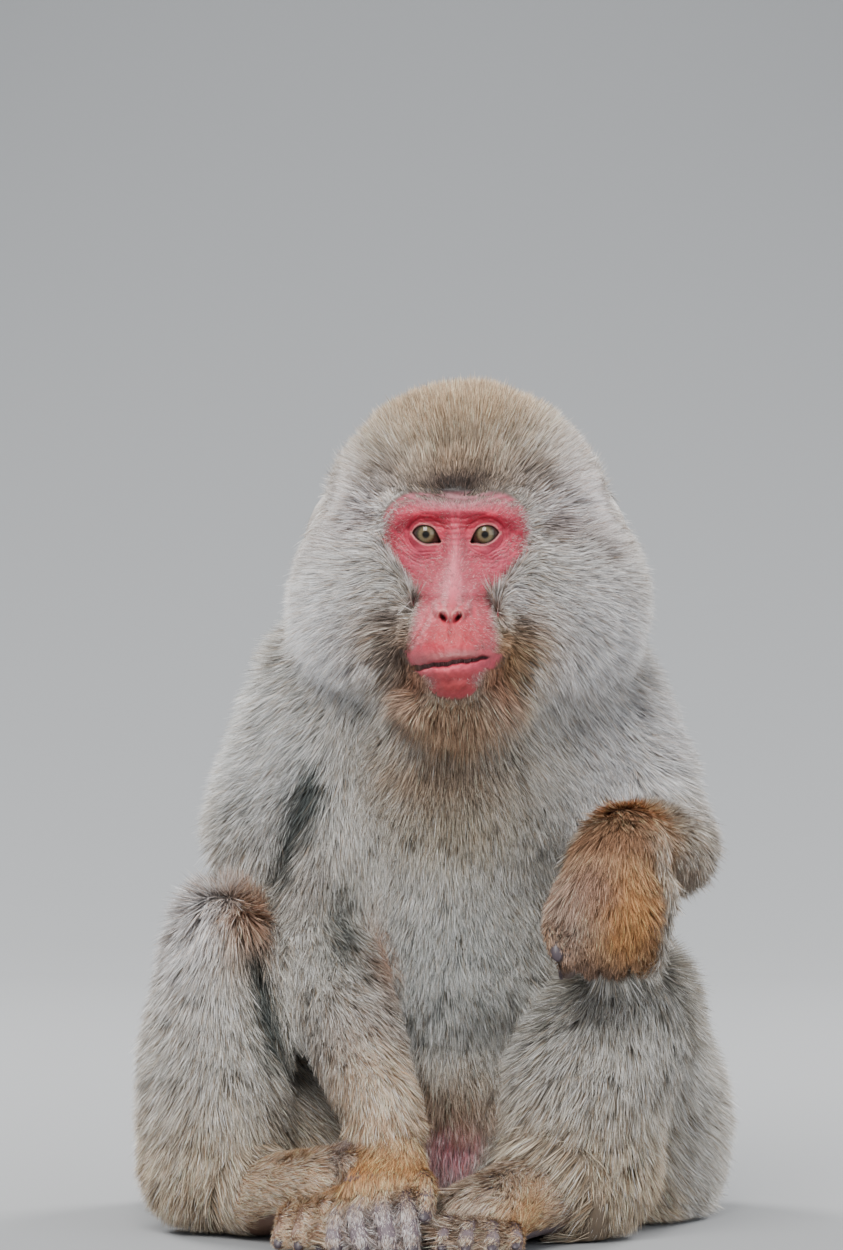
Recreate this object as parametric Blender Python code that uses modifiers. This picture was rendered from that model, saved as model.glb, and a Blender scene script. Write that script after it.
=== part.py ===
"""A sitting adult macaque as a still, life-size model.

The animal faces -Y and its right side is at -X. The origin is on the floor, at the middle of the flat
that the hips sit on. The solids reach out to the tips of the coat, and the face is bare skin. Each
whole form (head and trunk, arms, legs, feet, tail) is grown from named masses in millimetres. The
forms are cut back from each other, and then parted with thin cuts at the neck, waist and limb joints.
"""

import math

import bmesh
import bpy
from mathutils import Euler, Matrix, Vector

MM = 0.001

# ---- driving dimensions, millimetres -------------------------------------------------------------
GAP = 0.4                      # clear cut between neighbouring pieces
SEAT = (2.0, 66.0, 0.0)        # where the hips rest, which becomes the origin
EYE_RADIUS = 10.0
EYE_SPACING = 35.6             # between the pupils
EYE_DEPTH = 10.0               # eyeball centre behind the plane of the corneas
SOCKET_GAP = 0.35
MOUTH_DROP = 74.0              # mouth line below the pupils
FACE_ORIGIN = (15.4, -90.0, 424.0)   # between the corneas
FACE_YAW = -3.0                # degrees, towards the animal's right
CROWN = (23.0, -4.0, 433.0)
MOUTH_TILT = 6.0               # degrees, the lips run up towards the animal's left

RIGHT_ARM = {"shoulder": (-52, 0, 306), "elbow": (-70, -32, 180), "wrist": (-24, -144, 68)}
LEFT_ARM = {"shoulder": (97, 16, 314), "elbow": (146, -18, 231), "wrist": (114, -142, 240)}
RIGHT_LEG = {"hip": (-100, 44, 56), "knee": (-125, -62, 188), "calf": (-130, -62, 106), "heel": (-132, -62, 42)}
LEFT_LEG = {"hip": (106, 44, 56), "knee": (121, -82, 144), "calf": (96, -90, 98), "heel": (92, -86, 42)}

COLOURS = {
    "coat": (0.42, 0.39, 0.35),
    "mane": (0.50, 0.49, 0.48),
    "crown": (0.36, 0.28, 0.20),
    "paw": (0.45, 0.31, 0.19),
    "ear": (0.50, 0.30, 0.27),
    "eye": (0.30, 0.24, 0.16),
}


# ---- clearing and materials ------------------------------------------------------------------------
def clear_scene():
    for old in list(bpy.data.objects):
        bpy.data.objects.remove(old)


def finish(name, roughness):
    material = bpy.data.materials.new(name)
    material.use_nodes = True
    shader = material.node_tree.nodes["Principled BSDF"]
    shader.inputs["Base Color"].default_value = (*COLOURS[name], 1.0)
    shader.inputs["Roughness"].default_value = roughness
    shader.inputs["Metallic"].default_value = 0.0
    return material


# ---- masses: every form is an ellipsoid, or the skin stretched round several of them --------------
def ball(centre, radii, turn=(0, 0, 0)):
    """An ellipsoid's matrix. One radius makes a sphere, and turn is in degrees about X, Y and Z."""
    if isinstance(radii, (int, float)):
        radii = (radii, radii, radii)
    rotation = Euler([math.radians(t) for t in turn]).to_matrix().to_4x4()
    return Matrix.Translation(Vector(centre)) @ rotation @ Matrix.Diagonal((*radii, 1.0))


def limb(*stations):
    """A tapering run through (centre, radius) stations: one stretched mass for each pair."""
    balls = [ball(centre, radius) for centre, radius in stations]
    return [[first, second] for first, second in zip(balls, balls[1:])]


def add_mass(target, mass, rounds=12):
    """Adds an ellipsoid, or the convex skin round a list of them, to the mesh."""
    group = mass if isinstance(mass, list) else [mass]
    made = bmesh.new()
    for matrix in group:
        bmesh.ops.create_uvsphere(made, u_segments=2 * rounds, v_segments=rounds, radius=1.0, matrix=matrix)
    if len(group) > 1:
        hull = bmesh.ops.convex_hull(made, input=made.verts)
        spare = set(hull["geom_interior"] + hull["geom_unused"])
        bmesh.ops.delete(made, geom=[v for v in spare if isinstance(v, bmesh.types.BMVert)], context="VERTS")
    bmesh.ops.recalc_face_normals(made, faces=made.faces)
    piece = bpy.data.meshes.new("mass")
    made.to_mesh(piece)
    made.free()
    target.from_mesh(piece)
    bpy.data.meshes.remove(piece)


def evaluated(obj):
    """The object's mesh with its modifiers carried out, and the object and its old mesh removed."""
    graph = bpy.context.evaluated_depsgraph_get()
    mesh = bpy.data.meshes.new_from_object(obj.evaluated_get(graph))
    old = obj.data
    bpy.data.objects.remove(obj)
    bpy.data.meshes.remove(old)
    return mesh


def helper(mesh, name="helper"):
    obj = bpy.data.objects.new(name, mesh)
    bpy.context.scene.collection.objects.link(obj)
    return obj


def whole(masses, voxel, smoothing, triangles):
    """Melts masses into one soft closed form, in metres, of about that many triangles."""
    melted = bmesh.new()
    for mass in masses:
        add_mass(melted, mass)
    bmesh.ops.scale(melted, vec=(MM, MM, MM), verts=melted.verts)
    mesh = bpy.data.meshes.new("whole")
    melted.to_mesh(mesh)
    melted.free()
    obj = helper(mesh)
    remesh = obj.modifiers.new("melt", "REMESH")
    remesh.mode = "VOXEL"
    remesh.voxel_size = voxel * MM
    soften = obj.modifiers.new("soften", "SMOOTH")
    soften.factor = 0.5
    soften.iterations = smoothing
    mesh = evaluated(obj)
    obj = helper(mesh)
    thin = obj.modifiers.new("thin", "DECIMATE")
    thin.ratio = triangles / sum(len(face.vertices) - 2 for face in mesh.polygons)
    thin.use_collapse_triangulate = True
    return evaluated(obj)


# ---- cutting ---------------------------------------------------------------------------------------
def biggest_island(made):
    """Removes all but the largest connected body."""
    unseen = set(made.verts)
    best = []
    while unseen:
        island = [unseen.pop()]
        for vert in island:
            for edge in vert.link_edges:
                other = edge.other_vert(vert)
                if other in unseen:
                    unseen.remove(other)
                    island.append(other)
        if len(island) > len(best):
            best = island
    spare = set(made.verts) - set(best)
    bmesh.ops.delete(made, geom=list(spare), context="VERTS")


def half(mesh, point, normal):
    """The part of the closed mesh on the side that normal points to, closed with a flat face."""
    made = bmesh.new()
    made.from_mesh(mesh)
    geometry = made.verts[:] + made.edges[:] + made.faces[:]
    cut = bmesh.ops.bisect_plane(
        made, geom=geometry, plane_co=Vector(point) * MM, plane_no=Vector(normal), clear_inner=True,
        dist=1e-7)
    rim = [item for item in cut["geom_cut"] if isinstance(item, bmesh.types.BMEdge)]
    bmesh.ops.triangle_fill(made, edges=rim, use_beauty=True)
    biggest_island(made)
    bmesh.ops.recalc_face_normals(made, faces=made.faces)
    result = bpy.data.meshes.new("half")
    made.to_mesh(result)
    made.free()
    return result


def part_at(mesh, point, normal):
    """Parts a mesh at a plane. The first piece lies where normal points, and GAP is left between."""
    normal = Vector(normal).normalized()
    shift = normal * GAP / 2
    return half(mesh, Vector(point) + shift, normal), half(mesh, Vector(point) - shift, -normal)


def grown(mesh, millimetres):
    """A copy with every face moved outwards."""
    made = bmesh.new()
    made.from_mesh(mesh)
    made.normal_update()
    for vert in made.verts:
        vert.co += vert.normal * millimetres * MM
    result = bpy.data.meshes.new("grown")
    made.to_mesh(result)
    made.free()
    return result


def combined(mesh, other, operation):
    """A Boolean of two closed meshes, of which the largest body is kept."""
    obj = helper(mesh)
    tool = helper(other, "tool")
    step = obj.modifiers.new("combine", "BOOLEAN")
    step.operation = operation
    step.solver = "MANIFOLD"
    step.object = tool
    made = evaluated(obj)
    bpy.data.objects.remove(tool)
    tidy = bmesh.new()
    tidy.from_mesh(made)
    bmesh.ops.remove_doubles(tidy, verts=tidy.verts, dist=2e-6)
    bmesh.ops.dissolve_degenerate(tidy, edges=tidy.edges, dist=2e-6)
    bmesh.ops.dissolve_limit(tidy, angle_limit=math.radians(0.6), verts=tidy.verts, edges=tidy.edges)
    bmesh.ops.triangulate(tidy, faces=tidy.faces)
    biggest_island(tidy)
    tidy.to_mesh(made)
    tidy.free()
    return made


def cut_back(mesh, *neighbours):
    """The mesh with each neighbour, and the gap round it, cut away."""
    for neighbour in neighbours:
        mesh = combined(mesh, grown(neighbour, GAP), "DIFFERENCE")
    return mesh


def mass_mesh(mass, rounds=8):
    made = bmesh.new()
    add_mass(made, mass, rounds)
    bmesh.ops.scale(made, vec=(MM, MM, MM), verts=made.verts)
    mesh = bpy.data.meshes.new("mass")
    made.to_mesh(mesh)
    made.free()
    return mesh


def node(name, mesh, material, collection):
    """A finished part, moved so that the seat is the origin."""
    mesh.name = name
    mesh.transform(Matrix.Translation(Vector(SEAT) * -MM))
    mesh.materials.clear()
    mesh.materials.append(material)
    mesh.shade_smooth()
    obj = bpy.data.objects.new(name, mesh)
    collection.objects.link(obj)
    return obj


# ---- the face, in its own frame: x to the animal's left, y back, z up from between the pupils ------
def face_frame():
    return Matrix.Translation(Vector(FACE_ORIGIN)) @ Matrix.Rotation(math.radians(FACE_YAW), 4, "Z")


def face_masses():
    """Brow, cheekbones, muzzle, nose, lips and chin as bare skin."""
    frame = face_frame()
    masses = []

    def put(*group):
        placed = [frame @ matrix for matrix in group]
        masses.append(placed if len(placed) > 1 else placed[0])

    put(ball((0, 30, -8), (43, 32, 40)))                                    # skull behind the face
    put(ball((0, 24, 25), (39, 23, 18)))                                     # forehead
    put(ball((0, 12, -42), (37, 25, 40)))                                    # between muzzle and cheeks
    for side in (-1, 1):
        put(ball((side * 13, 0, 16), (12, 9, 7)), ball((side * 31, 9, 12), (10, 11, 7)))     # brow
        cheekbone = ball((side * 32, 13, -14), (11, 14, 12))
        put(ball((side * 37, 17, 4), (8, 12, 10)), cheekbone)
        put(cheekbone, ball((side * 24, 8, -32), (13, 16, 12)))
        put(ball((side * 20, -8, -44), (12, 16, 13)), ball((side * 23, -15, -60), (12, 16, 12)))
        put(ball((side * 6.5, -37, -43), (6.5, 7, 5)))                       # wing of the nose
    put(ball((0, 0, 15), (15, 9, 8)))                                        # between the brows
    put(ball((0, 2, 2), (7, 8, 10)), ball((0, -34, -38), (8, 7, 7)))         # bridge of the nose
    put(ball((0, 4, -28), (22, 20, 16)), ball((0, -22, -56), (26, 22, 15)))  # upper muzzle
    put(ball((0, -25, -64), (25, 19, 9)))                                    # upper lip
    put(ball((0, -22, -83), (22, 18, 9)), ball((0, 20, -78), (30, 26, 16)))  # lower lip and jaw
    put(ball((0, -20, -87), (16, 15, 8)))                                    # chin
    return masses


def column_masses():
    """Head, mane and trunk, out to the tips of the coat."""
    crown_x, crown_y, crown_z = CROWN
    mane = [
        ball(CROWN, (88, 84, 85)),                                           # crown
        [ball((crown_x, crown_y + 30, crown_z - 20), (88, 80, 76)), ball((20, 34, 372), (96, 80, 60))],
        ball((-24, -26, 378), (65, 67, 68)),                                 # right cheek ruff
        ball((68, -26, 378), (70, 67, 70)),                                  # left cheek ruff
        ball((17, -60, 322), (48, 52, 30)),                                  # beard under the chin
    ]
    cape = [
        [ball((16, 24, 366), (110, 72, 46)), ball((14, 38, 300), (124, 86, 52))],
        [ball((-58, 22, 334), (56, 60, 44)), ball((-86, 18, 236), (60, 60, 52))],
        [ball((86, 20, 338), (56, 60, 44)), ball((110, 22, 262), (62, 62, 50))],
    ]
    trunk = [
        ball((12, 44, 250), (104, 94, 86)),
        [ball((16, -26, 318), (62, 52, 40)), ball((14, -8, 250), (84, 54, 54))],            # breast
        [ball((-40, 54, 206), (82, 82, 60)), ball((-44, 60, 116), (80, 86, 60))],   # flanks
        [ball((62, 54, 206), (82, 82, 60)), ball((54, 60, 116), (80, 86, 60))],
        [ball((10, 34, 240), (88, 92, 60)), ball((8, 44, 150), (102, 98, 62))],
        ball((4, 62, 96), (122, 102, 84)),
        ball((2, 68, 54), (120, 96, 72)),
    ]
    return mane + cape + trunk


# ---- hands and feet: each digit is a run through its joints ---------------------------------------
def digit(*joints, root, tip):
    """A finger or toe through its joints, narrowing from root to tip radius."""
    last = len(joints) - 1
    return limb(*[(point, root + (tip - root) * i / last) for i, point in enumerate(joints)])


def right_hand():
    """Laid over the right foot's toes, with its fingers bent down to the floor."""
    palm = [[ball((-24, -150, 60), (20, 15, 15)), ball((-27, -178, 42), (27, 17, 15))]]
    fingers = [
        digit((-46, -178, 36), (-54, -196, 24), (-54, -205, 7), root=9, tip=6.5),
        digit((-35, -184, 38), (-42, -204, 27), (-38, -213, 6), root=9.5, tip=6.5),
        digit((-25, -188, 38), (-27, -208, 28), (-23, -217, 6), root=9.5, tip=6.5),
        digit((-14, -186, 40), (-14, -205, 30), (-11, -214, 7), root=9.5, tip=6.5),
        digit((-8, -166, 48), (-3, -186, 44), (-4, -201, 27), root=9.5, tip=7.5),
    ]
    return palm + [part for finger in fingers for part in finger]


def left_hand():
    """Hanging from the bent wrist, its fingers curled in under the palm."""
    back = [
        [ball((111, -146, 236), (29, 23, 24)), ball((107, -164, 204), (41, 23, 30))],
        ball((108, -156, 214), (40, 26, 34)),
    ]
    fingers = [
        digit((130, -160, 188), (127, -154, 172), (120, -140, 175), root=13, tip=8.5),
        digit((117, -166, 184), (112, -160, 168), (106, -145, 171), root=13, tip=8.5),
        digit((103, -168, 184), (97, -163, 169), (93, -149, 171), root=12.5, tip=8),
        digit((89, -166, 188), (83, -165, 174), (82, -154, 168), root=12, tip=7.5),
        digit((78, -156, 208), (73, -163, 192), (75, -166, 179), root=11, tip=7),
    ]
    return back + [part for finger in fingers for part in finger]


def right_foot():
    """Arched and gripping, turned in, with the heel and the toe tips on the floor."""
    sole = [
        [ball((-100, -96, 22), (26, 26, 24)), ball((-104, -88, 12), (22, 24, 14))],
        [ball((-96, -104, 28), (25, 24, 24)), ball((-64, -146, 42), (24, 22, 20))],
    ]
    toes = [
        digit((-58, -148, 52), (-47, -166, 55), (-38, -178, 38), root=13, tip=9),
        digit((-58, -158, 34), (-50, -178, 34), (-50, -186, 10), root=10, tip=6.5),
        digit((-66, -160, 30), (-61, -180, 29), (-64, -190, 7), root=9.5, tip=6.5),
        digit((-74, -156, 27), (-73, -176, 25), (-77, -187, 7), root=9.5, tip=6.5),
        digit((-81, -150, 24), (-84, -168, 22), (-89, -178, 7), root=9.5, tip=6.5),
    ]
    return sole + [part for toe in toes for part in toe]


def left_foot():
    """Flat on the floor, turned in towards the other foot."""
    sole = [
        [ball((70, -112, 28), (28, 28, 28)), ball((78, -100, 13), (22, 24, 15))],
        [ball((62, -122, 30), (29, 27, 26)), ball((32, -160, 22), (30, 26, 24))],
    ]
    toes = [
        digit((14, -148, 18), (3, -164, 17), (-3, -177, 8), root=12, tip=7.5),
        digit((17, -168, 17), (10, -190, 18), (7, -204, 7), root=10, tip=6.5),
        digit((27, -176, 16), (23, -198, 17), (21, -211, 7), root=10, tip=6.5),
        digit((38, -176, 15), (36, -197, 16), (36, -208, 7), root=9.5, tip=6.5),
        digit((48, -170, 14), (49, -189, 15), (50, -200, 7), root=9.5, tip=6.5),
    ]
    return sole + [part for toe in toes for part in toe]


def arm_masses(arm, shoulder_radius, elbow_radius, forearm_radius, wrist_radius, hand):
    middle = Vector(arm["elbow"]).lerp(Vector(arm["wrist"]), 0.45)
    return limb(
        (arm["shoulder"], shoulder_radius), (arm["elbow"], elbow_radius),
        (middle, forearm_radius), (arm["wrist"], wrist_radius)) + hand


def leg_masses(leg, knee_radius, calf_radius, heel_radius):
    """Haunch, thigh and shin, folded up at the knee, with the coat hanging to the floor."""
    knee = Vector(leg["knee"])
    haunch = ball(Vector(leg["hip"]) + Vector((0, -12, 0)), (84, 98, 100))
    thigh = [ball(leg["hip"], (76, 76, 84)), ball(knee + Vector((0, 8, -4)), knee_radius)]
    shin = limb((knee, knee_radius), (leg["calf"], calf_radius), (leg["heel"], heel_radius))
    return [haunch, thigh] + shin


# ---- assembly ------------------------------------------------------------------------------------
FLOOR = ((0, 0, 0), (0, 0, 1))


def stand_on_floor(mesh):
    """Cuts small flats where a form reaches the floor."""
    return half(mesh, *FLOOR)


def between(first, corner, last):
    """The normal of the plane that halves a bend, pointing to the side of the first point."""
    corner = Vector(corner)
    return (Vector(first) - corner).normalized() - (Vector(last) - corner).normalized()


def build_limbs():
    """The limbs in the order in which they keep their shape: the later ones give way."""
    right_arm = stand_on_floor(whole(arm_masses(RIGHT_ARM, 44, 35, 33, 23, right_hand()), 2.0, 4, 600))
    left_arm = whole(arm_masses(LEFT_ARM, 45, 33, 30, 26, left_hand()), 2.2, 4, 520)
    right_foot_form = stand_on_floor(whole(right_foot(), 2.0, 4, 370))
    left_foot_form = stand_on_floor(whole(left_foot(), 2.0, 4, 370))
    right_foot_form = cut_back(right_foot_form, right_arm)
    left_foot_form = cut_back(left_foot_form, right_arm, right_foot_form)
    right_leg = stand_on_floor(whole(leg_masses(RIGHT_LEG, 36, 50, 48), 4.0, 6, 340))
    left_leg = stand_on_floor(whole(leg_masses(LEFT_LEG, 46, 54, 51), 4.0, 6, 340))
    right_leg = cut_back(half(right_leg, (-26, 0, 0), (-1, 0, 0)), right_foot_form, right_arm)
    left_leg = cut_back(half(left_leg, (30, 0, 0), (1, 0, 0)), left_foot_form, left_arm)
    return right_arm, left_arm, right_foot_form, left_foot_form, right_leg, left_leg


def part_arm(arm, mesh):
    """Upper arm, forearm and hand."""
    upper, lower = part_at(mesh, arm["elbow"], between(arm["shoulder"], arm["elbow"], arm["wrist"]))
    along = Vector(arm["elbow"]) - Vector(arm["wrist"])
    forearm, hand = part_at(lower, arm["wrist"], along)
    return {"upper_arm": upper, "forearm": forearm, "hand": hand}


def part_leg(leg, mesh):
    """Thigh and shin. One plane through the knee runs down between thigh and calf."""
    thigh, shin = part_at(mesh, leg["knee"], between(leg["hip"], leg["knee"], leg["heel"]))
    return {"thigh": thigh, "shin": shin}


def eyeball(side):
    centre = face_frame() @ Vector((side * EYE_SPACING / 2, EYE_DEPTH, 0))
    return centre, mass_mesh(ball(centre, EYE_RADIUS), rounds=6)


def ear(side):
    """A thin cupped ear, leaning back, whose rim just reaches the tips of the mane."""
    centre = Vector((CROWN[0] + side * 82, 24, 418))
    turn = (10, 0, side * -32)
    shell = mass_mesh(ball(centre, (9, 20, 26), turn), rounds=5)
    cup = mass_mesh(ball(centre + Vector((side * 11, -3, 1)), (11, 15, 20), turn), rounds=4)
    return combined(shell, cup, "DIFFERENCE")


def mouth_cutter():
    """A thin curved slab that opens a narrow line between the lips."""
    frame = face_frame() @ Matrix.Translation((0, 0, -MOUTH_DROP)) @ Matrix.Rotation(
        math.radians(-MOUTH_TILT), 4, "Y")
    return mass_mesh(frame @ ball((0, -20, 0), (26, 30, 1.3)), rounds=10)


def nostril_cutter(side):
    turn = (-38, side * 28, 0)
    return mass_mesh(face_frame() @ ball((side * 5.6, -42, -47.5), (3.0, 6.5, 2.0), turn), rounds=6)


def build_column(limbs, ears, eyes, tail):
    coat = stand_on_floor(whole(column_masses(), 4.0, 20, 810))
    column = combined(coat, whole(face_masses(), 1.8, 4, 600), "UNION")
    for centre, _ in eyes:
        socket = mass_mesh(ball(centre, EYE_RADIUS + SOCKET_GAP), rounds=6)
        mouth_of_socket = ball(centre + Vector((0, -16, 0)), (9.5, 14, 6.6))
        column = combined(column, socket, "DIFFERENCE")
        column = combined(column, mass_mesh(mouth_of_socket, 6), "DIFFERENCE")
    column = combined(column, mouth_cutter(), "DIFFERENCE")
    for side in (-1, 1):
        column = combined(column, nostril_cutter(side), "DIFFERENCE")
    return cut_back(column, *limbs, *ears, tail)


def part_column(mesh):
    """Head, neck, chest, belly and hips, from the top down."""
    cuts = [
        ("head", (18, -110, 300), (0, -120, 180)),
        ("neck", (15, 0, 286), (0, -0.25, 1)),
        ("chest", (12, 0, 196), (0, -0.1, 1)),
        ("belly", (8, 0, 104), (0, 0, 1)),
    ]
    parts = {}
    for name, point, normal in cuts:
        parts[name], mesh = part_at(mesh, point, normal)
    parts["hips"] = mesh
    return parts


def main():
    clear_scene()
    finishes = {name: finish(name, 0.25 if name == "eye" else 0.8) for name in COLOURS}
    collection = bpy.data.collections.new("macaque")
    bpy.context.scene.collection.children.link(collection)

    right_arm, left_arm, right_foot_form, left_foot_form, right_leg, left_leg = build_limbs()
    tail = stand_on_floor(whole(limb(((2, 150, 62), 20), ((4, 176, 34), 18), ((6, 200, 14), 15)), 4, 3, 96))
    ears = {"right_ear": ear(-1), "left_ear": ear(1)}
    eyes = {"right_eye": eyeball(-1), "left_eye": eyeball(1)}
    tail = cut_back(tail, right_leg, left_leg)
    limbs = [right_arm, left_arm, right_foot_form, left_foot_form, right_leg, left_leg]
    column = build_column(limbs, ears.values(), eyes.values(), tail)

    for name, mesh in part_column(column).items():
        look = {"head": "crown", "neck": "mane"}.get(name, "coat")
        node(name, mesh, finishes[look], collection)
    for side, arm, mesh in (("right", RIGHT_ARM, right_arm), ("left", LEFT_ARM, left_arm)):
        for name, piece in part_arm(arm, mesh).items():
            node(f"{side}_{name}", piece, finishes["paw" if name == "hand" else "coat"], collection)
    for side, leg, mesh in (("right", RIGHT_LEG, right_leg), ("left", LEFT_LEG, left_leg)):
        for name, piece in part_leg(leg, mesh).items():
            node(f"{side}_{name}", piece, finishes["coat"], collection)
    node("right_foot", right_foot_form, finishes["paw"], collection)
    node("left_foot", left_foot_form, finishes["paw"], collection)
    node("tail", tail, finishes["coat"], collection)
    for name, mesh in ears.items():
        node(name, mesh, finishes["ear"], collection)
    for name, (_, mesh) in eyes.items():
        node(name, mesh, finishes["eye"], collection)


main()
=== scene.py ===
import math

import bmesh
import bpy
import numpy as np
from mathutils import Matrix, Vector
from mathutils.bvhtree import BVHTree
from mathutils.kdtree import KDTree


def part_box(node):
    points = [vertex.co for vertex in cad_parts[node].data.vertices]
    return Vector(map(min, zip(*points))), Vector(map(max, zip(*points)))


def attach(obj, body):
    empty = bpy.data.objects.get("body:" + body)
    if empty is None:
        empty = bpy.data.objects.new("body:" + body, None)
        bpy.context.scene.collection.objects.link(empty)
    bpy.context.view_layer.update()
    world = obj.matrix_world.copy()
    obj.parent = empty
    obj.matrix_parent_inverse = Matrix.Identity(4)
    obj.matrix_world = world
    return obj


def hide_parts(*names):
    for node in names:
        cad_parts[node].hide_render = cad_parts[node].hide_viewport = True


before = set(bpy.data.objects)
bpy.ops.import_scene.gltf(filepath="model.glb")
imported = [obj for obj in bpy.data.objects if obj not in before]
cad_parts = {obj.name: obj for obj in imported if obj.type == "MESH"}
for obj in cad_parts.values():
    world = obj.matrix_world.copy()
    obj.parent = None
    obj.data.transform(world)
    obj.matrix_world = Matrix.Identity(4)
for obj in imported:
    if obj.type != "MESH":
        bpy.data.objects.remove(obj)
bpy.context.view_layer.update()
dice = np.random.default_rng(11)
mm = 0.001

# Places below are millimetres in the animal's own axes: x to its left, y back, z up from the floor.
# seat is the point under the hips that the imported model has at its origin.
seat = np.array([2.0, 66.0, 0.0])
faceOrigin = np.array([15.4, -90.0, 424.0])   # between the corneas
faceYaw = math.radians(-3.0)


def toModel(points):
    return (np.asarray(points, float) - seat) * mm


def toAnimal(points):
    return np.asarray(points, float) / mm + seat


def srgb(red, green, blue):
    c = np.array([red, green, blue], float) / 255.0
    return np.where(c <= 0.04045, c / 12.92, ((c + 0.055) / 1.055) ** 2.4)


def faceToAnimal(points):
    # face coordinates are x to the left, reach forwards, z up
    points = np.asarray(points, float)
    x, reach, z = points[..., 0], points[..., 1], points[..., 2]
    c, s = math.cos(faceYaw), math.sin(faceYaw)
    return np.stack([x * c + reach * s, x * s - reach * c, z], -1) + faceOrigin


def animalToFace(points):
    p = np.asarray(points, float) - faceOrigin
    c, s = math.cos(faceYaw), math.sin(faceYaw)
    return np.stack([p[..., 0] * c + p[..., 1] * s, p[..., 0] * s - p[..., 1] * c, p[..., 2]], -1)


def curve(stations, x):
    # a smooth line through (place, value) stations
    xs, ys = np.array(stations, float).T
    slopes = np.gradient(ys, xs)
    i = np.clip(np.searchsorted(xs, x) - 1, 0, len(xs) - 2)
    step = xs[i + 1] - xs[i]
    t = np.clip((x - xs[i]) / step, 0, 1)
    a = (1 + 2 * t) * (1 - t) ** 2 * ys[i] + t * (1 - t) ** 2 * step * slopes[i]
    return a + t * t * (3 - 2 * t) * ys[i + 1] + t * t * (t - 1) * step * slopes[i + 1]


def melt(a, b, softness):
    # the larger of two reaches, with the corner between them filled
    return np.maximum(a, b) + softness * np.log1p(np.exp(-np.abs(a - b) / softness))


def step(x, low, high):
    t = np.clip((x - low) / (high - low), 0, 1)
    return t * t * (3 - 2 * t)


def hill(*reaches):
    # one in the middle, falling away over each distance and the width given after it
    return np.exp(-sum((d / w) ** 2 for d, w in zip(reaches[::2], reaches[1::2])))


def blob(points, centre, spread):
    d = (points - np.array(centre, float)) / np.array(spread, float)
    return np.exp(-np.sum(d * d, -1))


def unit(v):
    return v / (np.linalg.norm(v, axis=-1, keepdims=True) + 1e-9)


def newObject(name, mesh):
    obj = bpy.data.objects.new(name, mesh)
    bpy.context.scene.collection.objects.link(obj)
    return obj


def placed(name, made, ownAxes=False):
    # the object of a bmesh, which is used up; ownAxes says that it is still in the animal's axes
    for v in made.verts if ownAxes else ():
        v.co = toModel(v.co)
    mesh = bpy.data.meshes.new(name)
    made.to_mesh(mesh)
    made.free()
    return newObject(name, mesh)


def poured(target, made):
    held = bpy.data.meshes.new("held")
    made.to_mesh(held)
    made.free()
    target.from_mesh(held)
    bpy.data.meshes.remove(held)


def settled(obj):
    # carries the modifiers out and leaves a plain mesh
    graph = bpy.context.evaluated_depsgraph_get()
    mesh = bpy.data.meshes.new_from_object(obj.evaluated_get(graph))
    obj.modifiers.clear()
    obj.data = mesh
    return obj


def remeshed(obj, voxel, smoothing=0):
    melting = obj.modifiers.new("melt", "REMESH")
    melting.mode = "VOXEL"
    melting.voxel_size = voxel * mm
    if smoothing:
        soften = obj.modifiers.new("soften", "SMOOTH")
        soften.factor = 0.5
        soften.iterations = smoothing
    return settled(obj)


def thinned(obj, triangles):
    mesh = obj.data
    total = sum(len(f.vertices) - 2 for f in mesh.polygons)
    if total > triangles:
        thin = obj.modifiers.new("thin", "DECIMATE")
        thin.ratio = triangles / total
        settled(obj)
    return obj


def joined(obj, other, operation="UNION"):
    # one closed body from two, with the second used up
    union = obj.modifiers.new("join", "BOOLEAN")
    union.operation = operation
    union.solver = "MANIFOLD"
    union.object = other
    settled(obj)
    bpy.data.objects.remove(other)
    return obj


def places(mesh, what="co"):
    values = np.empty(len(mesh.vertices) * 3, np.float32)
    mesh.vertices.foreach_get(what, values)
    return values.reshape(-1, 3).astype(float)


def pointKeys(mesh):
    return list(map(tuple, places(mesh)))


def joinedInOrder(obj, other):
    # A join puts the faces along its seam last, in an order that varies.
    # Here the last faces are put in order of place, so that the hair on them is the same each time.
    known = set(pointKeys(obj.data) + pointKeys(other.data))
    joined(obj, other)
    fresh = [key not in known for key in pointKeys(obj.data)]
    made = bmesh.new()
    made.from_mesh(obj.data)
    cut = sum(any(fresh[v.index] for v in f.verts) for f in made.faces)
    first = max(0, len(made.faces) - 2 * cut)
    print("seam", cut, "of", len(made.faces), "in order from", first)
    last = [f for f in made.faces if f.index >= first]
    for k, f in enumerate(sorted(last, key=lambda f: tuple(f.calc_center_median()))):
        f.index = first + k
    made.faces.sort()
    made.to_mesh(obj.data)
    made.free()
    return obj


def movePoints(mesh, co):
    mesh.vertices.foreach_set("co", np.asarray(co, np.float32).ravel())
    mesh.update()


def edgePairs(mesh):
    e = np.empty(len(mesh.edges) * 2, np.int32)
    mesh.edges.foreach_get("vertices", e)
    return e.reshape(-1, 2)


def evened(values, pairs, rounds):
    # spreads a value over the surface's neighbours
    shape = (-1,) + (1,) * (values.ndim - 1)
    count = np.bincount(pairs.ravel(), minlength=len(values)).reshape(shape) + 1e-9
    for _ in range(rounds):
        total = np.zeros_like(values)
        columns = [(total, values)] if values.ndim == 1 else list(zip(total.T, values.T))
        for column, value in columns:
            for a, b in ((0, 1), (1, 0)):
                column += np.bincount(pairs[:, a], value[pairs[:, b]], len(values))
        values = 0.5 * values + 0.5 * total / count
    return values


def treeOf(mesh):
    made = bmesh.new()
    made.from_mesh(mesh)
    tree = BVHTree.FromBMesh(made)
    made.free()
    return tree


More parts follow.
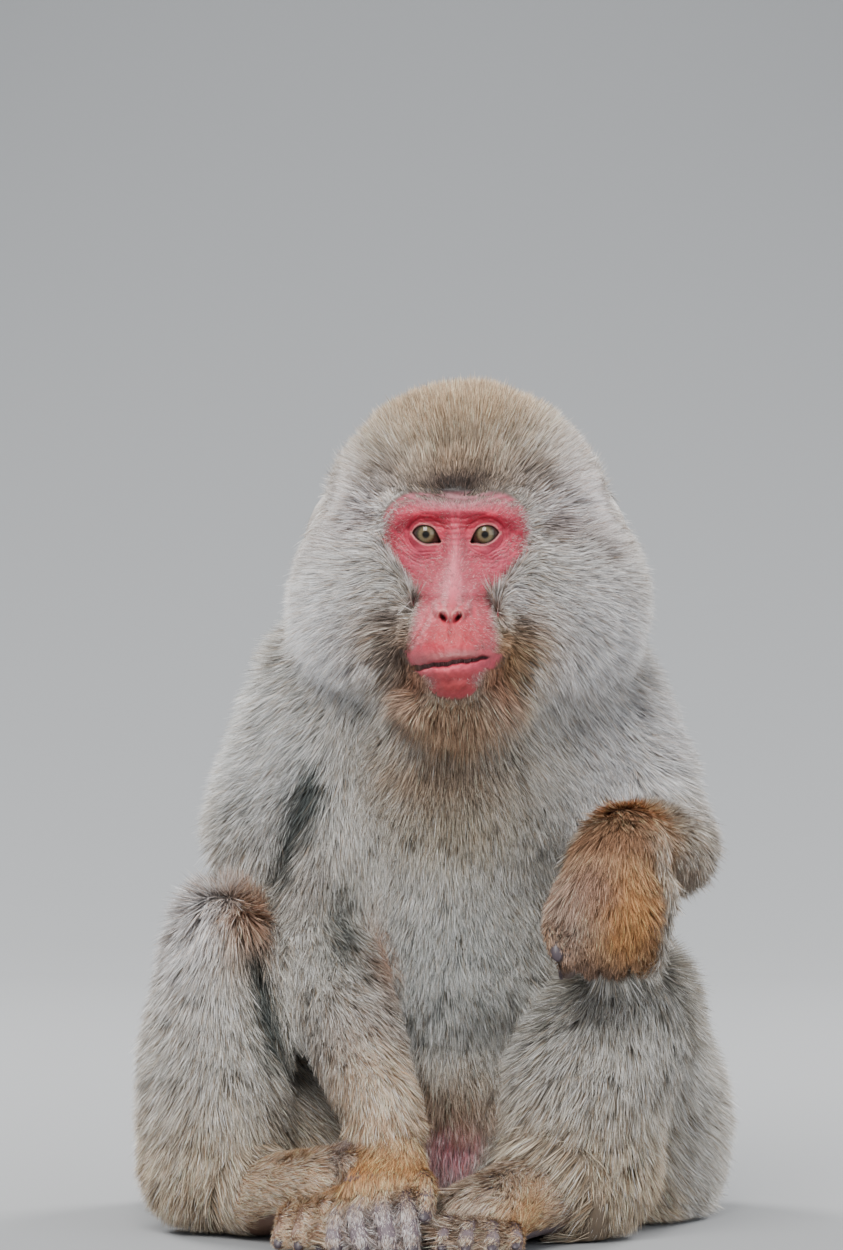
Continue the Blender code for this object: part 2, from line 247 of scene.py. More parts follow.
def ball(centre, radii, turn=(0, 0, 0)):
    radii = (radii,) * 3 if isinstance(radii, (int, float)) else radii
    rotation = Matrix.Rotation(math.radians(turn[2]), 4, "Z") @ Matrix.Rotation(
        math.radians(turn[1]), 4, "Y") @ Matrix.Rotation(math.radians(turn[0]), 4, "X")
    return Matrix.Translation(centre) @ rotation @ Matrix.Diagonal((*radii, 1))


def addMass(target, *balls):
    # an ellipsoid, or the skin stretched round several
    part = bmesh.new()
    for matrix in balls:
        bmesh.ops.create_uvsphere(part, u_segments=20, v_segments=12, radius=1, matrix=matrix)
    if len(balls) > 1:
        hull = bmesh.ops.convex_hull(part, input=part.verts)
        spare = {g for g in hull["geom_interior"] + hull["geom_unused"] if isinstance(g, bmesh.types.BMVert)}
        bmesh.ops.delete(part, geom=list(spare), context="VERTS")
    bmesh.ops.recalc_face_normals(part, faces=part.faces)
    poured(target, part)


def addRun(target, run):
    for (a, ra), (b, rb) in zip(run, run[1:]):
        addMass(target, ball(a, ra), ball(b, rb))


def massObject(name, groups):
    # each group of balls gives one rounded mass; all of them in one object
    target = bmesh.new()
    for group in groups:
        addMass(target, *group)
    return placed(name, target, True)


# the outline that the coat fills
sides = ("left", "right")


def plainName(node):
    return node.split("_", 1)[1] if node.startswith(sides) else node


limbNodes = [f"{s}_{part}" for s in sides for part in ("upper_arm", "forearm", "thigh", "shin")]
pawNodes = [f"{s}_{part}" for s in sides for part in ("hand", "foot")]
trunkNodes = ["head", "neck", "chest", "belly", "hips", "tail"]
coatDepth = {                     # how far the skin lies inside the coat's outline
    "head": 19, "neck": 24, "chest": 20, "belly": 18, "hips": 16, "tail": 8,
    "upper_arm": 15, "forearm": 10, "thigh": 17, "shin": 14, "hand": 3, "foot": 3,
}


def gathered(names, name, swell):
    # loose triangles of some nodes as one welded mesh, swollen enough to close the cuts between them
    made = bmesh.new()
    for node in names:
        piece = bmesh.new()
        piece.from_mesh(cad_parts[node].data)
        bmesh.ops.remove_doubles(piece, verts=piece.verts, dist=2e-6)
        piece.normal_update()
        for v in piece.verts:
            v.co += v.normal * swell * mm
        poured(made, piece)
    return placed(name, made)


print("outline")
outline = remeshed(gathered(trunkNodes + limbNodes + pawNodes, "outline", 0.6), 3.0, 2)
outlineTree = treeOf(outline.data)

print("body under the coat")
body = remeshed(gathered(trunkNodes + limbNodes, "skin", 0.6), 3.0, 3)
bodyPlaces = places(body.data)


def nodeTree(node):
    return BVHTree.FromObject(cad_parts[node], bpy.context.evaluated_depsgraph_get())


nodeTrees = {n: nodeTree(n) for n in trunkNodes + limbNodes}


def nearestNode(points):
    names = list(nodeTrees)
    best = np.full(len(points), 1e9)
    which = np.zeros(len(points), int)
    for k, n in enumerate(names):
        tree = nodeTrees[n]
        lo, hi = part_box(n)
        lo, hi = np.array(lo) - 0.012, np.array(hi) + 0.012
        close = np.nonzero(np.all((points > lo) & (points < hi), axis=1))[0]
        for i in close:
            hit = tree.find_nearest(points[i])
            if hit[3] is not None and hit[3] < best[i]:
                best[i] = hit[3]
                which[i] = k
    return [names[k] for k in which]


bareEdge = [        # (height, half width) of the bare face
    (-101, 0), (-97, 8), (-89, 16), (-81, 21), (-74, 26), (-66, 28.5), (-58, 28), (-50, 26), (-43, 25),
    (-35, 25.5), (-29, 28), (-24, 32), (-20, 36), (-13, 41), (-5, 44), (2, 45), (10, 42.5), (17, 38),
    (26, 29)]


def pastEdge(ax, z):
    # how far outside the bare skin, negative on it
    beside = ax - curve(bareEdge, np.clip(z, -98, 26))
    return melt(beside, np.maximum(z - 23.5, -96 - z), 3.0)


def pastFace(f):
    # how far outside the bare face a place is, negative on it
    return np.where(f[..., 1] < -45, 60.0, pastEdge(np.abs(f[..., 0]), f[..., 2]))


bodyNodes = nearestNode(bodyPlaces)
depth = np.array([coatDepth[plainName(n)] for n in bodyNodes], float)
pairs = edgePairs(body.data)
depth = evened(depth, pairs, 12)
past = pastFace(animalToFace(toAnimal(bodyPlaces)))
onHead = evened(np.array([float(n in ("head", "neck")) for n in bodyNodes]), pairs, 8)
depth = depth + (3.5 - depth) * (1 - step(past, 2, 26)) * step(past, -12, 0) * onHead
depth = depth * mm
moved = bodyPlaces.copy()
for _ in range(4):
    out = evened(places(body.data, "normal"), pairs, 6)
    moved = moved - unit(out) * depth[:, None] / 4
    moved = 0.5 * moved + 0.5 * evened(moved, pairs, 3)
    movePoints(body.data, moved)
f = animalToFace(toAnimal(moved))
sunk = step(-pastFace(f), -2, 5) * onHead
f[:, 1] = f[:, 1] + (np.minimum(f[:, 1], -19) - f[:, 1]) * sunk
movePoints(body.data, toModel(faceToAnimal(f)))

plugs = [                         # fill the limbs where they run on into the hands and feet
    [ball((-131, -62, 46), (33, 31, 36)), ball((-104, -90, 27), (25, 25, 23))],
    [ball((95, -88, 48), (37, 35, 38)), ball((70, -108, 30), (26, 26, 25))],
    [ball((-30, -128, 92), 16), ball((-26, -145, 64), (15, 14, 14))],
    [ball((121, -122, 240), (22, 20, 22)), ball((112, -143, 237), (23, 19, 20))],
]
plug = massObject("plug", plugs)
both = bmesh.new()
both.from_mesh(body.data)
both.from_mesh(plug.data)
both.to_mesh(body.data)
both.free()
bpy.data.objects.remove(plug)
body = remeshed(body, 3.0, 4)
print("body", len(body.data.polygons))

# the face
face = {
    "width": 57, "low": -111, "high": 42,       # the area that is sculpted, from between the pupils
    "eyeSpacing": 35.6, "eyeRadius": 10.0, "eyeDepth": 10.0,
    "lidThickness": 1.25, "opening": 8.8, "upperLid": 6.4, "lowerLid": 5.3,
    "browRise": 4.4, "mouthHeight": -75.6, "mouthTilt": 0.152, "mouthReach": 30,
    "nostrilOut": 4.3, "nostrilHeight": -48.4, "lean": 1.4,
}


def lidEdges(across):
    # heights of the two lid edges at a distance from the pupil, positive away from the nose
    t = np.clip(np.abs(across + 0.2) / face["opening"], 0, 1)
    middle = -0.5 + 0.14 * across - 2.6 * hill(across + 9.0, 2.6)
    upper = middle + face["upperLid"] * np.maximum(1 - t ** 2.3, 0) ** 0.75
    lower = middle - face["lowerLid"] * np.maximum(1 - t ** 2.1, 0) ** 0.85
    return upper, lower


def mouthLine(x):
    level = face["mouthHeight"] + face["mouthTilt"] * (x + 2)
    return level + 0.35 * np.sin(x * 0.42) + 0.2 * np.sin(x * 1.1 + 1) - 0.0012 * x * x


def mouthPart(x, rightCut, fade, reach=face["mouthReach"]):
    # one along the mouth, fading at its corners; it ends sooner on the animal's left
    return step(reach - x * np.where(x > 0, rightCut, -1), 0, fade)


def leaned(x, z):
    # the nose and mouth sit a little to its right
    return x + face["lean"] * hill(z + 55, 19)


def nostrilRim(ax, z):
    # strength of the rolled edge over each nostril, which is raised in the shape and carries a pale painted
    # highlight
    ring = np.hypot((ax - face["nostrilOut"]) / 2.6, (z - face["nostrilHeight"]) / 3.5)
    return hill(ring - 1.3, 0.26) * step(z, -51, -47)


def faceReach(x, z):
    # how far forwards the bare face stands at each place
    x = leaned(x, z)
    ax = np.abs(x)
    across = ax - face["eyeSpacing"] / 2
    upper = curve([(-112, -44), (-100, -30), (-80, -18), (-60, -9), (-40, -4.4), (-26, -3.0), (-12, -3.0),
                   (-4, -2.2), (6, -0.2), (14, 1.4), (22, 0.8), (32, -3), (44, -12)], z)
    upper = upper - 15 * (ax / 45) ** 2.5
    browHeight = 14.6 - 0.0048 * ax ** 2
    brow = face["browRise"] * hill(z - browHeight, 5.2) / (1 + np.exp((ax - 38) / 2.6))
    upper = upper + brow * (1 - 0.22 * hill(x, 4.5))
    upper = upper - (1.5 + 2.3 * step(z, -4, 4)) * hill(across - 1, 12, z + 1.0, 9)
    upper = upper + 1.8 * hill(ax - 31, 10, z + 17, 9)          # cheekbone
    upper = upper + 3.0 * hill(across, 9.5, z + 9.5, 4.4)         # full under the eye
    square = across ** 2 + z ** 2
    shell = (face["eyeRadius"] + face["lidThickness"]) ** 2
    lids = np.where(square < shell, -face["eyeDepth"] + np.sqrt(np.maximum(shell - square, 0)), -70.0)
    lids = lids - 40 * step(square, shell * 0.86, shell)
    reach = melt(upper, lids, 1.5)

    ridgeTop = curve([(-60, 8), (-56, 22), (-53, 32), (-50.5, 37.5), (-47.5, 41), (-44, 41.2), (-39, 37.4),
                      (-32, 30), (-24, 21.5), (-16, 13.8), (-9, 8.2), (-2, 4.2), (6, 2.0), (14, -2),
                      (24, -30)], z)
    ridgeWidth = curve([(-52, 6.5), (-45, 7.4), (-38, 6.6), (-26, 6.6), (-12, 5.8), (0, 6.2), (10, 9)], z)
    slope = curve([(-50, 2.1), (-42, 1.8), (-34, 1.45), (-24, 1.35), (-14, 1.8), (-6, 2.5), (4, 3.2),
                   (14, 3.4)], z)
    flank = ridgeTop + 0.8 - slope * (np.sqrt(ax ** 2 + 16) - 2.0)
    flank = flank - 30 * step(-z, 34, 54) - 30 * step(z, 8, 20)
    reach = melt(reach, flank, 3.0)
    reach = melt(reach, ridgeTop - 8 * (ax / ridgeWidth) ** 2.3, 1.8)

    muzzleTop = curve([(-112, -30), (-106, 0), (-101, 20), (-97, 29), (-92, 36), (-87, 40.4), (-81, 43),
                       (-76, 43.2), (-71, 45), (-65, 44.4), (-58, 41.6), (-52, 38.2), (-45, 32), (-37, 22),
                       (-28, 10), (-20, 0)], z)
    muzzleWidth = curve([(-104, 15), (-96, 18), (-88, 22), (-80, 26.5), (-74, 29), (-66, 30.5), (-58, 30),
                         (-50, 28.5), (-42, 25), (-32, 22), (-22, 19)], z)
    reach = melt(reach, muzzleTop - 30 * (ax / muzzleWidth) ** 2.5, 3.6)
    wing = 38.8 - 5 * (((ax - 6.6) / 3.4) ** 2 + ((z + 44.8) / 4.2) ** 2)
    reach = melt(reach, wing, 1.3)

    # nostrils, converging downwards
    out, over = ax - face["nostrilOut"], z - face["nostrilHeight"]
    u, w = out * 0.80 - over * 0.60, out * 0.60 + over * 0.80
    reach = reach - 7.0 * hill(u, 1.35, w, 2.9)
    reach = reach + 0.9 * nostrilRim(ax, z)
    reach = reach - 1.0 * hill(x, 1.1, z + 57, 5)                  # groove under the nose
    foldLine = curve([(-72, 26), (-64, 22), (-54, 16), (-46, 12.5), (-40, 10.5)], z)
    crease = hill(ax - foldLine, 1.5)
    reach = reach - 1.1 * crease * step(z, -74, -66) * step(-z, 38, 43)                 # fold beside the nose

    # lips
    line = mouthLine(x)
    mouth = mouthPart(x, 1.28, 6)
    reach = reach - 5.2 * mouth * hill(z - line, 0.6 + 0.5 * mouth)
    reach = reach + 1.1 * mouth * hill(z - line - 3.4, 2.2)
    reach = reach + 1.3 * mouth * hill(z - line + 4.0, 2.6)
    reach = reach - 1.5 * mouth * hill(z - line + 10.5, 2.6, x, 17)

    # folds round the eyes, on the brow and at the root of the nose
    ring = np.sqrt(across ** 2 + (z * 1.16) ** 2)
    below = 0.35 + 0.65 * step(-z, -3, 4)
    wander = 0.7 * np.sin(x * 0.45 + z * 0.3)
    for distance, deep, wide in ((12.9, 0.4, 0.5), (15.2, 0.4, 0.5), (17.4, 0.5, 0.7), (20.2, 0.4, 0.9),
                                 (23.2, 0.25, 0.9)):
        reach = reach - deep * below * hill(ring + wander - distance, wide) * step(ax, 5, 11)
    reach = reach - 0.9 * hill(ring - 11.6, 0.75) * step(z, 1, 5)          # over the lid
    reach = reach - 0.42 * np.cos(x * 1.5) * hill(x, 7, z - 10, 6)
    for k, level in enumerate((5.0, 8.0, 11.5)):           # frown lines, dipping between the eyes
        line = level + 0.0085 * x * x - 1.6 + 0.5 * np.sin(x * 0.5 + k)
        reach = reach - 0.55 * hill(z - line, 0.75) * step(26 - ax, 0, 10)
    lines = np.cos((z - 0.006 * x * x) * 1.55 + 0.8 * np.sin(x * 0.21))
    reach = reach - 0.36 * lines * hill(z - 23, 6) * step(42 - ax, 0, 10)
    reach = reach - 0.45 * np.cos(z * 1.8) * hill(x, 6.5, z + 4, 6)
    reach = reach - 0.15 * np.cos(x * 1.45 + 2 * np.sin(z * 0.35)) * hill(z + 67, 5) * mouth
    reach = reach - 0.3 * np.cos((ax * 0.7 - z * 0.9) * 1.1) * hill(ax - 34, 8, z + 2, 10)
    coarse = np.sin(x * 0.52 + 1.3 * np.sin(z * 0.31)) * np.sin(z * 0.47 + 1.1 * np.sin(x * 0.37))
    fine = np.sin(x * 1.43 + 2.1 * np.sin(z * 0.83)) * np.sin(z * 1.61 + 1.7 * np.sin(x * 0.71))
    reach = reach + 0.26 * coarse + 0.12 * fine

    # the opening over each eyeball
    upperEdge, lowerEdge = lidEdges(across)
    inside = np.minimum(upperEdge - z, z - lowerEdge)
    inside = np.where(np.abs(across + 0.2) < face["opening"], inside, -1)
    reach = reach - 12 * step(inside, -0.25, 0.35)

    # the rim of the bare skin runs in under the coat
    past = pastEdge(ax, z)
    return np.maximum(reach - 0.30 * np.maximum(past - 3, 0) ** 1.6, -44)


def gathering(low, high, stations):
    # places from low to high, spaced as the stations say
    out = [low]
    while out[-1] < high:
        out.append(out[-1] + float(np.interp(out[-1], *np.array(stations, float).T)))
    out = np.array(out)
    return low + (out - low) * (high - low) / (out[-1] - low)


print("face")
columnGaps = [(-57, 1.5), (-33, 0.75), (-29, 0.42), (-6, 0.42), (0, 0.5), (6, 0.42), (29, 0.42), (33, 0.75),
              (57, 1.5)]
rowGaps = [(-112, 1.6), (-98, 0.8), (-80, 0.55), (-40, 0.6), (-14, 0.7), (-10, 0.42), (10, 0.42), (14, 0.7),
           (42, 1.1)]
columns = gathering(-face["width"], face["width"], columnGaps)
rows = gathering(face["low"], face["high"], rowGaps)
made = bmesh.new()
bmesh.ops.create_grid(made, x_segments=len(columns) - 1, y_segments=len(rows) - 1, size=1)
made.verts.ensure_lookup_table()
flat = np.array([v.co for v in made.verts])
cx = np.rint((flat[:, 0] + 1) / 2 * (len(columns) - 1)).astype(int)
cz = np.rint((flat[:, 1] + 1) / 2 * (len(rows) - 1)).astype(int)
gx, gz = columns[cx], rows[cz]
gx = gx * curve([(-112, 0.30), (-104, 0.42), (-97, 0.52), (-90, 0.62), (-80, 0.74), (-66, 0.78), (-50, 0.76),
                 (-36, 0.80), (-24, 0.88), (-14, 1), (12, 1), (20, 0.88), (30, 0.62), (43, 0.40)], gz)
front = toModel(faceToAnimal(np.stack([gx, faceReach(gx, gz), gz], -1)))
for v, co in zip(made.verts, front):
    v.co = co
rim = [e for e in made.edges if e.is_boundary]
grown = bmesh.ops.extrude_edge_only(made, edges=rim)
back = [g for g in grown["geom"] if isinstance(g, bmesh.types.BMVert)]
for v in back:                                   # the rim runs back into the head
    p = animalToFace(toAnimal(v.co))
    v.co = toModel(faceToAnimal([p[0] * 0.75, -50, p[2] * 0.72 - 8]))
bmesh.ops.holes_fill(made, edges=[e for e in made.edges if e.is_boundary])
bmesh.ops.triangulate(made, faces=[f for f in made.faces if len(f.verts) > 4])
bmesh.ops.recalc_face_normals(made, faces=made.faces)
faceForm = placed("face", made)
print("face", len(faceForm.data.polygons))


# hands, feet and ears
def digit(points, root, tip, knuckle=0.35):
    # a finger or toe: bones between joints, each joint a little fuller
    run = []
    last = len(points) - 1
    for i, p in enumerate(points):
        radius = root + (tip - root) * i / last
        run.append((p, radius + (knuckle if 0 < i < last else 0)))
        if i < last:
            q = np.array(p) * 0.5 + np.array(points[i + 1]) * 0.5
            run.append((tuple(q), root + (tip - root) * (i + 0.5) / last - 0.15))
    return run


paws = {
    "right_hand": {
        "palm": [((-30, -134, 78), (15, 15, 15)), ((-24, -150, 60), (18, 13, 13)),
                 ((-27, -178, 42), (25, 15, 12))],
        "digits": [
            [(-46, -178, 34), (-54, -196, 24), (-56, -206, 12), (-55, -208, 7.5)],
            [(-36, -184, 37), (-43, -204, 27), (-41, -214, 14), (-39, -216, 7)],
            [(-26, -188, 38), (-28, -208, 28), (-25, -218, 15), (-23, -220, 7)],
            [(-15, -186, 40), (-14, -205, 30), (-12, -214, 16), (-11, -216, 8)],
            [(-9, -166, 46), (-4, -184, 44), (-3, -196, 35), (-4, -202, 26)]],
        "root": 6.9, "tip": 4.7, "thumb": (7.0, 5.2)},
    "left_hand": {
        "palm": [((117, -128, 240), (22, 18, 22)), ((109, -146, 234), (22, 17, 19)),
                 ((103, -162, 204), (29, 17, 24))],
        "digits": [
            [(122, -160, 188), (120, -158, 176), (115, -144, 174)],
            [(111, -165, 184), (108, -162, 171), (103, -148, 170)],
            [(100, -167, 184), (95, -164, 171), (92, -152, 170)],
            [(88, -166, 188), (83, -166, 175), (82, -157, 167)],
            [(80, -157, 208), (74, -164, 192), (75, -168, 179)]],
        "root": 8.6, "tip": 5.0, "thumb": (7.0, 4.8)},
    "right_foot": {
        "palm": [((-102, -92, 22), (24, 24, 21)), ((-96, -104, 28), (23, 22, 22)),
                 ((-64, -146, 40), (21, 19, 17))],
        "heel": ((-104, -88, 14), (20, 22, 13)),
        "digits": [
            [(-66, -160, 28), (-61, -180, 28), (-63, -190, 15), (-64, -191, 7.5)],
            [(-58, -158, 33), (-50, -178, 33), (-50, -186, 18), (-51, -188, 8)],
            [(-74, -156, 26), (-73, -176, 24), (-77, -187, 13), (-77, -188, 7.5)],
            [(-81, -150, 23), (-84, -168, 21), (-88, -178, 12), (-89, -180, 7.5)],
            [(-58, -148, 50), (-47, -166, 53), (-38, -178, 38)]],
        "root": 6.2, "tip": 4.2, "thumb": (9.0, 6.4)},
    "left_foot": {
        "palm": [((72, -106, 27), (26, 26, 25)), ((62, -122, 29), (27, 25, 24)),
                 ((32, -160, 21), (27, 23, 20))],
        "heel": ((78, -100, 14), (20, 22, 13)),
        "digits": [
            [(17, -168, 17), (10, -188, 19), (7, -203, 12), (7, -206, 7.5)],
            [(27, -176, 16), (23, -196, 18), (21, -210, 12), (21, -213, 7.5)],
            [(38, -176, 15), (36, -195, 17), (36, -207, 11), (36, -210, 7.5)],
            [(48, -170, 14), (49, -187, 15), (50, -199, 11), (50, -202, 7.5)],
            [(14, -148, 18), (3, -163, 18), (-3, -175, 10)]],
        "root": 6.4, "tip": 4.2, "thumb": (8.6, 5.4)},
}


def buildPaw(name):
    spec = paws[name]
    target = bmesh.new()
    palm = [ball(c, r) for c, r in spec["palm"]]
    for a, b in zip(palm, palm[1:]):
        addMass(target, a, b)
    if "heel" in spec:
        addMass(target, ball(*spec["heel"]), palm[0])
    for i, points in enumerate(spec["digits"]):
        root, tip = spec["thumb"] if i == len(spec["digits"]) - 1 else (spec["root"], spec["tip"])
        addRun(target, digit(points, root, tip))
    return thinned(remeshed(placed(name, target, True), 1.0, 2), 13000)


earCentres = {-1: (-51.0, 20, 418), 1: (97.0, 20, 418)}


def buildEar(side):
    # a thin cupped shell standing out from the skull through the ruff
    centre = np.array(earCentres[side])
    turn = (10, 0, side * -34)
    shell = remeshed(massObject("ear", [[ball(centre, (12, 16, 22), turn),
                                         ball(centre - np.array([side * 16, 4, 4]), (7, 11, 15))]]), 1.5, 2)
    cup = massObject("cup", [[ball(centre + np.array([side * 9, -7, 2]), (10, 11, 17), turn)]])
    return thinned(remeshed(joined(shell, cup, "DIFFERENCE"), 1.2, 2), 4000)


def lidRim(side):
    # the rounded margin of the lids, a thin roll that lies on the eyeball all round the opening
    t = np.linspace(0, 2 * math.pi, 72, endpoint=False)
    across = face["opening"] * np.cos(t) - 0.2
    upperEdge, lowerEdge = lidEdges(across)
    height = np.where(np.sin(t) >= 0, upperEdge, lowerEdge)
    ball2 = (face["eyeRadius"] + 0.6) ** 2
    reach = -face["eyeDepth"] + np.sqrt(np.maximum(ball2 - across ** 2 - height ** 2, 1))
    line = toModel(faceToAnimal(np.stack([side * (across + face["eyeSpacing"] / 2), reach, height], -1)))
    path = bpy.data.curves.new("rim", "CURVE")
    path.dimensions = "3D"
    path.bevel_depth = 0.62 * mm
    path.bevel_resolution = 3
    spline = path.splines.new("POLY")
    spline.points.add(len(line) - 1)
    for point, co in zip(spline.points, line):
        point.co = (*co, 1)
    spline.use_cyclic_u = True
    drawn = newObject("rim", path)
    made = bpy.data.meshes.new_from_object(drawn.evaluated_get(bpy.context.evaluated_depsgraph_get()))
    bpy.data.objects.remove(drawn)
    return newObject("rim", made)


print("hands, feet and ears")
skin = thinned(body, 60000)
for side in (-1, 1):
    faceForm = joined(faceForm, lidRim(side))
skin = joinedInOrder(skin, faceForm)
for name in paws:
    skin = joined(skin, buildPaw(name))
for side in (-1, 1):
    skin = joined(skin, buildEar(side))
skin.name = "skin"
print("skin", len(skin.data.polygons))


# eyes and nails
print("eyes and nails")


def tinted(base, colour, strength):
    # one colour laid over another
    return base + (np.asarray(colour, float) - base) * np.asarray(strength)[:, None]


def pointColours(mesh, name, colours):
    layer = mesh.color_attributes.new(name, "FLOAT_COLOR", "POINT")
    full = np.ones((len(colours), 4), np.float32)
    full[:, :3] = colours
    layer.data.foreach_set("color", full.ravel())


eyeLook = {"iris": 5.9, "pupil": 2.1}
made = bmesh.new()
for side in (-1, 1):
    globe = bmesh.ops.create_uvsphere(made, u_segments=72, v_segments=72, radius=face["eyeRadius"])
    for v in globe["verts"]:
        v.co = (v.co.x, v.co.z, v.co.y)                 # the poles face forwards and back
        away = math.hypot(v.co.x, v.co.z)
        v.co.y += 0.5 * max(0.0, 1 - (away / 6.6) ** 2)     # the cornea stands out a little
        v.co = toModel(faceToAnimal([v.co.x + side * face["eyeSpacing"] / 2,
                                     v.co.y - face["eyeDepth"], v.co.z]))
bmesh.ops.recalc_face_normals(made, faces=made.faces)
eyes = placed("eyes", made)
f = animalToFace(toAnimal(places(eyes.data)))
away = np.hypot(np.abs(f[:, 0]) - face["eyeSpacing"] / 2, f[:, 2])
angle = np.arctan2(f[:, 2], np.abs(f[:, 0]) - face["eyeSpacing"] / 2)
white, brown, pale = srgb(56, 36, 32), srgb(22, 16, 12), srgb(104, 92, 66)
colour = np.tile(white, (len(f), 1))
inIris = step(eyeLook["iris"] - away, -0.2, 0.4)[:, None]
iris = pale + (brown - pale) * (0.85 * step(away, 3.6, 5.6) + 0.4 * step(-away, -3.1, -2.1))[:, None]
iris = iris * (1 + 0.16 * np.sin(angle * 23) * np.sin(angle * 7 + 1))[:, None]
colour = colour + (iris - colour) * inIris
colour = colour * (1 - 0.97 * step(eyeLook["pupil"] - away, -0.25, 0.2)[:, None])
colour = np.where((f[:, 1] < -face["eyeDepth"])[:, None], white, colour)
pointColours(eyes.data, "eyeColour", colour)
eyes.data.shade_smooth()

made = bmesh.new()
for name, spec in paws.items():
    for i, points in enumerate(spec["digits"]):
        end, before = np.array(points[-1], float), np.array(points[-2], float)
        along = unit(end - before)
        if len(points) == 4:
            along = unit(end - np.array(points[-3], float))
        back = np.array([0, -0.75, 0.65])
        back = unit(back - along * (back @ along))
        beside = np.cross(along, back)
        tip = spec["thumb"][1] if i == 4 else spec["tip"]
        centre = end + back * (tip - 1.2) + along * 0.8
        turn = Matrix(np.stack([beside, along, back], 1).tolist()).to_4x4()
        size = Matrix.Diagonal((tip * 0.74, tip * 1.2, 1.8, 1))
        bmesh.ops.create_uvsphere(made, u_segments=16, v_segments=10, radius=1,
                                  matrix=Matrix.Translation(centre) @ turn @ size)
nails = placed("nails", made, True)
nails.data.shade_smooth()


# what grows where
print("coat layout")
mesh = skin.data
mesh.shade_smooth()
floorGap = 1.4
spots = toAnimal(places(mesh))
spots[:, 2] = np.maximum(spots[:, 2], floorGap)
movePoints(mesh, toModel(spots))
pairs = edgePairs(mesh)
facing = unit(evened(places(mesh, "normal"), pairs, 4))
faceSpots = animalToFace(spots)
faceX, faceReached, faceZ = faceSpots.T
nodeTrees.update({n: nodeTree(n) for n in pawNodes})
names = list(nodeTrees)
nearest = nearestNode(toModel(spots))
weight = np.zeros((len(spots), len(names)))
weight[np.arange(len(spots)), [names.index(n) for n in nearest]] = 1
weight = evened(weight, pairs, 12)
share = {n: weight[:, k] for k, n in enumerate(names)}
past = pastFace(faceSpots)
onHead = share["head"] + share["neck"]
pawShare = sum(share[n] for n in pawNodes)
facePast = np.where(onHead > 0.3, past, 60.0)

# height of the coat over the skin
height = np.zeros(len(spots))
for i, (p, n) in enumerate(zip(toModel(spots), facing)):
    hit = outlineTree.ray_cast(Vector(p) - Vector(n) * 0.0005, Vector(n), 0.045)
    if hit[0] is not None:
        height[i] = hit[3] / mm - 0.5
    else:
        near = outlineTree.find_nearest(Vector(p))
        height[i] = 0.0 if (Vector(p) - near[0]).dot(near[1]) > 0 else near[3] / mm
height = np.clip(evened(np.clip(height, 0.3, 30), pairs, 6), 0.3, 26)

bones = {
    "right_upper_arm": ((-52, 0, 306), (-70, -32, 180)), "right_forearm": ((-70, -32, 180), (-24, -144, 68)),
    "left_upper_arm": ((97, 16, 314), (146, -18, 231)), "left_forearm": ((146, -18, 231), (114, -142, 240)),
    "right_shin": ((-125, -62, 188), (-132, -62, 42)), "left_shin": ((121, -82, 144), (92, -86, 42)),
    "right_hand": ((-24, -144, 68), (-30, -205, 30)), "left_hand": ((112, -146, 236), (104, -164, 170)),
    "right_foot": ((-110, -84, 30), (-60, -180, 26)), "left_foot": ((84, -92, 34), (26, -196, 18)),
}


def headFlow(p):
    r = p - np.array([16, -84, 404])
    flow = np.stack([r[:, 0], 0.35 * np.abs(r[:, 0]) + 24, r[:, 2]], -1)
    flow = unit(flow)
    backOf = step(p[:, 1], -30, 40)[:, None]
    flow = flow * (1 - backOf) + backOf * np.array([0, 0.35, -1.0])
    sag = (step(-np.abs(r[:, 2]), -90, -20) * step(np.abs(r[:, 0]), 30, 60))[:, None]
    return unit(flow + sag * np.array([0, 0.15, -0.65]))


def flowOf(name, p):
    side = np.sign(p[:, 0] - 14)
    if name == "head":
        return headFlow(p)
    if name in bones:
        a, b = np.array(bones[name], float)
        along = np.tile(unit(b - a), (len(p), 1))
        t = np.clip(((p - a) @ (b - a)) / ((b - a) @ (b - a)), 0, 1)[:, None]
        radial = p - (a + t * (b - a))
        if "shin" in name:
            along = along + 0.018 * radial * np.array([1, 0.5, 0])
        if name == "left_forearm":
            along = along * 0.5 + np.array([0.45, -0.25, -0.75]) * (1 - 0.6 * t)
        if name == "left_foot":
            r = p - np.array([36, -150, 30])
            near = np.exp(-np.sum(r * r, 1) / 900)[:, None]
            along = along + 1.6 * near * unit(r)
        return unit(along)
    if "thigh" in name:
        a = np.array([-112, -10, 120] if "right" in name else [112, -20, 110], float)
        r = p - a
        down = np.full(len(p), -1.0)
        return unit(np.stack([0.25 * side + 0.004 * r[:, 0], 0.25 + 0.003 * r[:, 1], down], -1))
    if name == "tail":
        return np.tile([0.0, 1.0, -0.3], (len(p), 1))
    back = step(p[:, 1], 0, 60)
    wide = np.clip((p[:, 0] - 14) / 90, -1, 1)
    if name == "neck":
        return unit(np.stack([0.75 * wide, 0.25 * back, np.full(len(p), -0.8)], -1))
    return unit(np.stack([0.25 * wide * (1 - 2 * (back < 0.5) * (name == "chest")), 0.15 * back,
                          np.full(len(p), -1.0)], -1))


flow = sum(share[n][:, None] * flowOf(n, spots) for n in names)
overKnees = [((-128, -60, 204), (-0.25, -0.8, -0.5)), ((121, -80, 164), (0.3, -0.8, -0.5))]
for centre, way in overKnees:
    flow = flow + 4.0 * blob(spots, centre, (46, 70, 34))[:, None] * np.array(way) * (1 - pawShare)[:, None]
for _ in range(3):
    flow = evened(flow, pairs, 6)
    flow = unit(flow - facing * np.sum(flow * facing, -1, keepdims=True))

